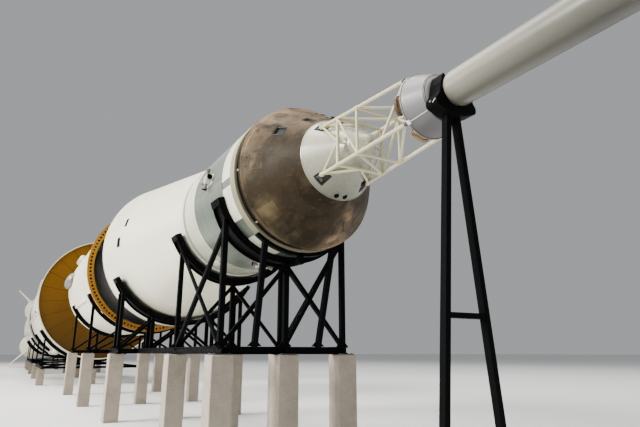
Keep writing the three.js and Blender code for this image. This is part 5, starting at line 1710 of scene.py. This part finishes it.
def big_engine():
    """A first stage engine: its tubed bell with hoops, and its gear of turbopump, ducts and braces."""
    bell = [engine_bell(0.03, 0.051, 0.075, BIG, 0.004),
            bell_bands(BIG, (0.05, 0.12, 0.2, 0.29, 0.39, 0.5, 0.86, 0.975), 0.004, 0.0045)]
    head = lathe([(-0.03, 0), (-0.03, 0.034), (-0.034, 0.05), (-0.04, 0.055), (-0.048, 0.056),
                  (-0.054, 0.052), (-0.056, 0)], 48)
    crown = lathe([(-0.024, 0), (-0.026, 0.02), (-0.031, 0.034), (-0.031, 0)], 48)
    pump = lathe([(-0.05, 0), (-0.05, 0.017), (-0.056, 0.024), (-0.072, 0.026), (-0.074, 0.022),
                  (-0.086, 0.022), (-0.089, 0.026), (-0.104, 0.026), (-0.107, 0.021), (-0.118, 0.021),
                  (-0.12, 0.025), (-0.13, 0.024), (-0.132, 0.019), (-0.132, 0)], 36)
    arm = box(-0.072, -0.058, -0.009, 0.009, 0.04, 0.08)
    exhaust = duct(0.012, 20, (-0.128, 0, 0.092), (-0.165, -0.006, 0.106), (-0.23, -0.02, 0.12),
                   (-0.3, -0.03, 0.134), (-0.36, -0.03, 0.146))
    lines = []
    for s in PAIR:
        lines += [duct(0.0075, 16, (-0.056, s * 0.012, 0.11), (-0.04, s * 0.05, 0.08),
                       (-0.042, s * 0.068, 0.03), (-0.046, s * 0.052, 0.006)),
                  duct(0.0048, 14, (-0.1, s * 0.02, 0.096), (-0.11, s * 0.062, 0.052),
                       (-0.106, s * 0.062, 0), (-0.098, s * 0.044, -0.02))]
    braces = rods([(-0.04, y, z) for y, z in ((0, -0.05), (0.044, -0.03), (-0.044, -0.03))],
                  [(-0.2, y, z) for y, z in ((0, -0.104), (0.088, -0.052), (-0.088, -0.052))], 0.0042)
    flange = lathe([(-0.0985, 0.04), (-0.0985, 0.053), (-0.1025, 0.053), (-0.1025, 0.04)], 48)
    manifold = bell_manifold(BIG, 0.615, 0.007, 64, 13, 0.012, 0.011)
    pump = moved(pump, (0, 0, 0.092))
    return bell, [head, crown, pump, arm, exhaust, lines, braces, manifold, flange]


def small_pump(end, r, z):
    """A ridged turbopump of a small engine, beside its chamber."""
    x = -0.036
    profile = [(x, 0), (x, r * 0.7), (x - 0.004, r), (x - 0.013, r), (x - 0.015, r * 0.82),
               (x - 0.021, r * 0.82), (x - 0.023, r), (end + 0.011, r), (end + 0.009, r * 0.78),
               (end + 0.003, r * 0.78), (end, r * 0.6), (end, 0)]
    return moved(lathe(profile, 28), (0, 0, z))


def small_engine():
    """An upper stage engine: its tubed bell with hoops, and its gear of pumps, bottle and ducts."""
    bell = [engine_bell(0.022, 0.024, 0.048, SMALL, 0.0025),
            bell_bands(SMALL, (0.06, 0.16, 0.28, 0.42, 0.58, 0.76, 0.97), 0.0028, 0.0026)]
    head = lathe([(-0.0215, 0), (-0.0215, 0.01), (-0.026, 0.021), (-0.031, 0.026), (-0.037, 0.0265),
                  (-0.04, 0.024), (-0.04, 0)], 40)
    pumps = [small_pump(-0.084, 0.014, 0.044), small_pump(-0.078, 0.016, -0.042)]
    arms = [box(-0.048, -0.038, -0.005, 0.005, *sorted((s * 0.01, s * 0.04))) for s in PAIR]
    arms.append(box(-0.048, -0.038, 0.014, 0.044, -0.005, 0.005))
    lines = [duct(0.0058, 16, (-0.082, 0, 0.044), (-0.096, 0.018, 0.05), (-0.104, 0.04, 0.04),
                  (-0.106, 0.05, 0.01), (-0.106, 0.048, -0.01)),
             duct(0.005, 16, (-0.076, 0, -0.042), (-0.092, -0.016, -0.046), (-0.098, -0.036, -0.034),
                  (-0.092, -0.04, -0.01))]
    lines += [duct(0.0046, 14, (-0.04, s * 0.01, s * 0.046), (-0.03, s * 0.022, s * 0.036),
                   (-0.028, s * 0.024, s * 0.016), (-0.032, s * 0.02, s * 0.004)) for s in PAIR]
    manifold = bell_manifold(SMALL, 0.2, 0.003, 56, 11, 0.0055, 0.0055)
    return bell, [head, pumps, ball((-0.044, 0.062, 0), 0.02, 28), arms, lines, manifold]


class ROCKET_OT_engines(bpy.types.Operator):
    """Hangs all eleven main engines: tubed bells, pumps and ducts, each on the body that swings it"""

    bl_idname = "rocket.engines"
    bl_label = "Main engines"

    def execute(self, context):
        small = small_engine(), ears(0.0108, 0.0168, 0.007, -0.027), (-0.026, 0.0325)
        big = big_engine(), ears(0.0168, 0.0248, 0.009, -0.035), (-0.034, 0.0345)
        rows = [("stage3_engine", *small[:2], THIRD_GIMBAL)]
        for stage, (engine, hinge, ends), places, middle in (
                ("stage2", small, SECOND_GIMBALS, SECOND_MIDDLE),
                ("stage1", big, FIRST_GIMBALS, FIRST_MIDDLE)):
            rows += [(f"{stage}_engine_{k}", engine, hinge, place) for k, place in enumerate(places, 1)]
            rows += [(f"{stage}_engine_middle", engine, box(*ends, -0.009, 0.009, -0.009, 0.009), middle)]
        for name, (bell, gear), mount, place in rows:
            body = "root" if name.endswith("middle") else name
            piece(name, moved(bell, place), "engine_metal", body=body)
            piece(f"{name}_gear", moved([gear, mount], place), "dark_steel", body=body)
        return {"FINISHED"}


class ROCKET_OT_gimbals(bpy.types.Operator):
    """Makes each gimbal: a chamfered block on two crossed pins"""

    bl_idname = "rocket.gimbals"
    bl_label = "Gimbals"

    def execute(self, context):
        small, big = (0.01, 0.0035, 0.0168), (0.016, 0.005, 0.0248)
        rows = [("stage3_gimbal", THIRD_GIMBAL, small)]
        rows += [(f"stage2_gimbal_{k}", place, small) for k, place in enumerate(SECOND_GIMBALS, 1)]
        rows += [(f"stage1_gimbal_{k}", place, big) for k, place in enumerate(FIRST_GIMBALS, 1)]
        for name, place, (half, pin, reach) in rows:
            shapes = [blocks((0, 0, 0), (half, half, half))]
            shapes += [rods(d * -reach, d * reach, pin, 18) for d in (Y, Z)]
            piece(f"{name}_block", moved(shapes, place), "bright_steel", 0.0008, name, name)
        return {"FINISHED"}


# Cradles: the widths of their steel and piers, and the places of their posts across
POST, BRACE, THIN_BRACE, RAIL, DEPTH, PIER = 0.014, 0.0105, 0.0085, 0.014, 0.019, 0.028
NARROW, WIDE = (-0.178, 0, 0.178), (-0.4, 0, 0.4)
MIDDLE, THIRD_POSTS = (-0.255, -0.128, 0, 0.128, 0.255), (-0.28, -0.14, 0, 0.14, 0.28)


def wide_cradle(x0, x1, *stations):
    """A cradle of a wide stage, with a saddle and three piers at each station."""
    saddles = [(x - 0.05, x + 0.05, STAGE_R, 0.016, 122, WIDE, (x,)) for x in stations]
    return -0.56, saddles, ((x0, x1, WIDE),), (stations, WIDE)


# For each cradle: rail height, its saddles as (rear, front, radius, thickness, end angle, posts,
# frame stations), its rails as (rear, front, places across) and its piers as (stations, places)
CRADLES = {
    "cradle_craft": (-0.431, (
        (-0.186, -0.112, CRAFT_R, 0.01, 108, NARROW, (-0.122,)),
        (-0.557, -0.5, adapter_radius(-0.557), 0.012, 113, NARROW, (-0.528,)),
    ), ((-0.57, -0.104, NARROW),), ((-0.122, -0.528), NARROW)),
    "cradle_adapter": (-0.431, (
        (-1.2, -1.098, adapter_radius(-1.2), 0.012, 119, MIDDLE, (-1.11, -1.188)),
    ), ((-1.23, -0.5703, NARROW), (-1.2, -1.098, (-0.255, 0.255))), ((-1.149,), (-0.255, 0, 0.255))),
    "cradle_stage3": (-0.431, (
        (-1.89, -1.83, THIRD_R, 0.012, 117, THIRD_POSTS, (-1.86,)),
        (-2.74, -2.68, THIRD_R, 0.012, 117, THIRD_POSTS, (-2.71,)),
    ), ((-2.8, -1.2303, NARROW),), ((-1.86, -2.71), (-0.28, 0, 0.28))),
    "cradle_stage2": wide_cradle(-5.3, -3.8, -3.9, -5.2),
    "cradle_stage1": wide_cradle(-9.38, -6.56, -6.64, -8.3, -9.3),
}


def beam(start, end, top, flange):
    """A rolled beam between two points (x, y) along or across the axis: two flanges and a web."""
    start, end, base = np.array(start), np.array(end), top - DEPTH
    wide = start == end
    return [box(*np.stack([start - wide * half, end + wide * half], axis=1).ravel(), z0, z1)
            for half, z0, z1 in ((RAIL / 2, top - flange, top), (RAIL / 2, base, base + flange),
                                 (0.002, base + flange - 0.0001, top - flange + 0.0001))]


def gusset(corner, along, size, thick, side):
    """A stiffener in the corner between a direction and straight up."""
    flat = np.array([0 * Z, along, along / 4 + Z * 3 / 4, Z]) * size
    return moved(loft([flat + side * s * thick / 2 for s in PAIR]), corner)


def foot_gussets(x, y, top):
    """The two stiffeners at a post's foot."""
    return [gusset((x, y + s * POST / 2, top), Y * s, 0.013, 0.0022, X) for s in PAIR]


def saddle_frame(saddle, top):
    """One saddle's steel, with its posts, cross beams, braces, gussets and end blocks."""
    x0, x1, r, thick, end, posts, frames = saddle
    outer, narrowed = r + 0.0012 + thick, max(x1 - x0 - 0.058, 0)
    turn = np.linspace(end, 360 - end, 73)
    rear = x0 + narrowed * np.clip(1 - (np.minimum(turn, 360 - turn) - end) / 26, 0, 1)
    front = 0 * rear + x1
    steel = [wall(np.stack([rear, front]), turn, outer - 0.001, r + 0.0012)]
    steel += [wall(np.stack([x, x + 0.0032]), turn, outer + 0.007, outer - 0.002)
              for x in (rear + 0.003, front - 0.0062)]
    stop = box(x0 + narrowed - 0.0015, x1 + 0.0015, -0.0095, 0.0095, 0.0012, thick + 0.0085)
    steel += on_side(stop, 0, r, (end, 360 - end))
    under = {y: -sqrt((r + thick) ** 2 - max(abs(y) - POST / 2, 0) ** 2) for y in posts}
    for x in frames:
        steel += beam((x, posts[0]), (x, posts[-1]), top - 0.001, 0.0026)
        for k, y in enumerate(posts):
            steel += [bars((x, y, top - 0.006), (x, y, under[y] + 0.004), POST, POST),
                      box(x - 0.011, x + 0.011, y - 0.011, y + 0.011, top - 0.0006, top + 0.002),
                      foot_gussets(x, y, top)]
            if y:
                inside = posts[k - int(np.sign(y))]
                steel.append(bars((x, y, top - 0.003), (x, inside, under[inside] - 0.012), BRACE, BRACE))
    return steel


def craft_supports(top):
    """The craft's leaning posts, their narrow saddle under the front ring, and the long braces."""
    x, foot, pier, low, high = -0.042, -0.109, (-0.122, -0.528), top - 0.004, -0.13
    made = [panel(x - 0.008, x + 0.008, 142, 218, CRAFT_R + 0.0006, 0.009, 0, 30),
            box(x - 0.008, x + 0.008, -0.007, 0.007, -CRAFT_R - 0.03, -CRAFT_R - 0.002),
            bars((pier[0], 0.178, high), (pier[0], 0, top), THIN_BRACE, THIN_BRACE)]
    for s in PAIR:
        y = s * 0.178
        made += [bars((foot, s * 0.092, top - 0.002), (x, s * 0.099, -0.168), POST, POST),
                 bars((pier[0], y, high), (pier[1], y, low), 0.012, 0.012, Y),
                 bars((pier[0], y, low), (pier[1], y, high), THIN_BRACE, THIN_BRACE, Y),
                 foot_gussets(foot, s * 0.092, top)]
    return made


class ROCKET_OT_cradles(bpy.types.Operator):
    """Puts up the black steel cradles: saddles, posts, rolled beams, braces, pads and piers"""

    bl_idname = "rocket.cradles"
    bl_label = "Cradles and piers"

    def execute(self, context):
        for name, (top, saddles, rails, (stations, places)) in CRADLES.items():
            steel = [saddle_frame(saddle, top) for saddle in saddles]
            steel += [beam((x0, y), (x1, y), top, 0.0028) for x0, x1, across in rails for y in across]
            if name == "cradle_craft":
                steel += craft_supports(top)
            piece(name, steel, "black_steel", 0.0006)
            pads = [panel(x0 + 0.002, x1 - 0.002, end + 1, 359 - end, r + 0.0002, 0.001, 0, 72)
                    for x0, x1, r, _, end, *_ in saddles]
            piece(f"{name}_pads", pads, "rubber")
            feet, base = [(x, y, 0) for x in stations for y in places], top - DEPTH
            pier = box(-PIER, PIER, -PIER, PIER, -AXIS_Z, base - 0.0022)
            piece(f"{name}_piers", moved(pier, *feet), "concrete", 0.002)
            plate = box(-0.023, 0.023, -0.023, 0.023, base - 0.0024, base + 0.0004)
            corners = [(a * 0.0185, b * 0.0185, base) for a in PAIR for b in PAIR]
            heads = moved(disc(0.0022, 0.0018, 6), *corners)
            piece(f"{name}_plates", moved([plate, *heads], *feet), "dark_steel")
        return {"FINISHED"}


# The yoke's outline round the neck: angle from the top, reach from the axis
YOKE_OUTLINE = ((45, 0.0375), (66, 0.035), (90, 0.035), (105.8, 0.0387), (114, 0.0454), (118.5, 0.0524),
                (123.9, 0.0557), (129, 0.0572), (142.9, 0.0514), (164.5, 0.0487), (180, 0.047))


class ROCKET_OT_escape_stand(bpy.types.Operator):
    """Builds the stand under the escape motor: yoke, spread legs, cross bar and foot plates"""

    bl_idname = "rocket.escape_stand"
    bl_label = "Escape motor's stand"

    def execute(self, context):
        x, neck, head, foot, apart, last = 0.5255, 0.0305, -0.042, -AXIS_Z + 0.008, 0.072, 276
        turn, reach = np.array(YOKE_OUTLINE).T
        t = np.unique(np.concatenate([turn, 360 - turn, np.arange(48, last + 1, 6)]))
        t = t[t <= last]
        reach = np.interp(np.minimum(t, 360 - t), turn, reach)
        cross, height = 0.01 + 0.062 * (0.39 - 0.036) / (AXIS_Z - 0.036), -0.39
        steel = [wall([[0.513], [0.541]], t, reach, neck),
                 bars((x, -cross, height), (x, cross, height), 0.012, 0.009),
                 box(x - 0.01, x + 0.01, -0.06, 0.06, -AXIS_Z, foot - 0.003)]
        for s in PAIR:
            y = s * apart
            steel += [bars((x, s * 0.01, head), (x, y, foot), 0.013, 0.0105),
                      box(x - 0.06, x + 0.06, y - 0.02, y + 0.02, -AXIS_Z, foot - 0.002),
                      [gusset((x + a * 0.008, y, foot - 0.002), X * a, 0.03, 0.003, Y) for a in PAIR]]
        piece("stand_escape", steel, "black_steel")
        heads = moved(disc(0.003, 0.0022, 6), *((x + a * 0.045, s * apart + b * 0.012, foot - 0.0022)
                                                for a in PAIR for b in PAIR for s in PAIR))
        clamps = [carried(disc(0.0026, 0.002, 6), (X, -s * Z, s * Y), (x, s * 0.0458, -0.0275)) for s in PAIR]
        piece("stand_bolts", [heads, clamps], "dark_steel")
        return {"FINISHED"}


# name, place, aim, size, watts, spread in degrees, colour
LAMPS = (
    ("key", (2.6, -7, 3.6), (3.3, 0, 0.6), (5, 3), 210, 50, (1, 0.985, 0.94)),
    ("top", (1, -1.5, 7.5), (1, 0, 0.7), (15, 4), 520, 120, (1, 0.975, 0.94)),
    ("long", (-5.5, -6, 3.5), (-3.5, 0, 0.6), (9, 3), 210, 100, (1, 0.98, 0.95)),
    ("far", (0, 8, 6.5), (0, 0, 0.7), (14, 4), 120, 140, (0.94, 0.97, 1)),
)
FLOOR_HALF = 60


class ROCKET_OT_studio(bpy.types.Operator):
    """Lays the floor, hangs the lamps and sets up the camera at the photograph's angle"""

    bl_idname = "rocket.studio"
    bl_label = "Floor, light and camera"

    def execute(self, context):
        studio, scene = context.scene.rocket_studio, context.scene
        ground = bpy.data.meshes.new("floor")
        corners = [(-1, -1), (1, -1), (1, 1), (-1, 1)]
        ground.from_pydata([(x * FLOOR_HALF, y * FLOOR_HALF, 0) for x, y in corners], [], [(0, 1, 2, 3)])
        ground.materials.append(paint("studio_floor"))
        made = [bpy.data.objects.new("floor", ground)]
        for name, place, aim, size, power, spread_angle, color in LAMPS:
            lamp = bpy.data.lights.new(name, "AREA")
            lamp.shape = "RECTANGLE"
            lamp.size, lamp.size_y = size
            lamp.energy, lamp.spread, lamp.color = power * studio.brightness, radians(spread_angle), color
            holder = bpy.data.objects.new(name, lamp)
            holder.location = place
            holder.rotation_euler = (Vector(aim) - Vector(place)).to_track_quat("-Z", "Y").to_euler()
            made.append(holder)
        world = bpy.data.worlds.new("studio")
        world.use_nodes = True
        sky = world.node_tree.nodes["Background"].inputs
        sky["Color"].default_value = (0.95, 0.97, 1, 1)
        sky["Strength"].default_value = 0.4 * studio.brightness
        scene.world = world
        lens = bpy.data.cameras.new("camera")
        lens.lens, lens.sensor_width = studio.lens, 36
        lens.clip_start, lens.clip_end = 0.02, 400
        lens.dof.use_dof = False
        camera = bpy.data.objects.new("camera", lens)
        camera.location = studio.eye
        camera.rotation_euler = Vector(studio.gaze).to_track_quat("-Z", "Y").to_euler()
        made.append(camera)
        for thing in made:
            scene.collection.objects.link(thing)
        scene.camera = camera
        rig.stage(*made)
        return {"FINISHED"}


class ROCKET_PT_panel(bpy.types.Panel):
    """Buttons for the pieces in the order they are made"""

    bl_label = "Moon rocket"
    bl_idname = "ROCKET_PT_panel"
    bl_space_type = "VIEW_3D"
    bl_region_type = "UI"
    bl_category = "Rocket"

    def draw(self, context):
        for operator in OPERATORS:
            self.layout.operator(operator.bl_idname)


OPERATORS = tuple(kind for name, kind in list(globals().items()) if name.startswith("ROCKET_OT_"))
GROUPS = {"rocket_finish": RocketFinish, "rocket_detail": RocketDetail, "rocket_studio": RocketStudio}


def register():
    for name, group in GROUPS.items():
        bpy.utils.register_class(group)
        setattr(bpy.types.Scene, name, bpy.props.PointerProperty(type=group))
    for kind in (*OPERATORS, ROCKET_PT_panel):
        bpy.utils.register_class(kind)


def unregister():
    for kind in (ROCKET_PT_panel, *reversed(OPERATORS)):
        bpy.utils.unregister_class(kind)
    for name, group in GROUPS.items():
        delattr(bpy.types.Scene, name)
        bpy.utils.unregister_class(group)


def main():
    """Makes every piece in order and writes both sizes down."""
    register()
    for operator in OPERATORS:
        group, name = operator.bl_idname.split(".")
        getattr(getattr(bpy.ops, group), name)()
    sizes = {"cad": CAD_BOX, "shown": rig.bounds()}
    rows = {key: [list(corner) for corner in box] for key, box in sizes.items()}
    with open(SIZE_FILE, "w") as out:
        json.dump(rows, out, indent=1)


if __name__ == "__main__":
    main()
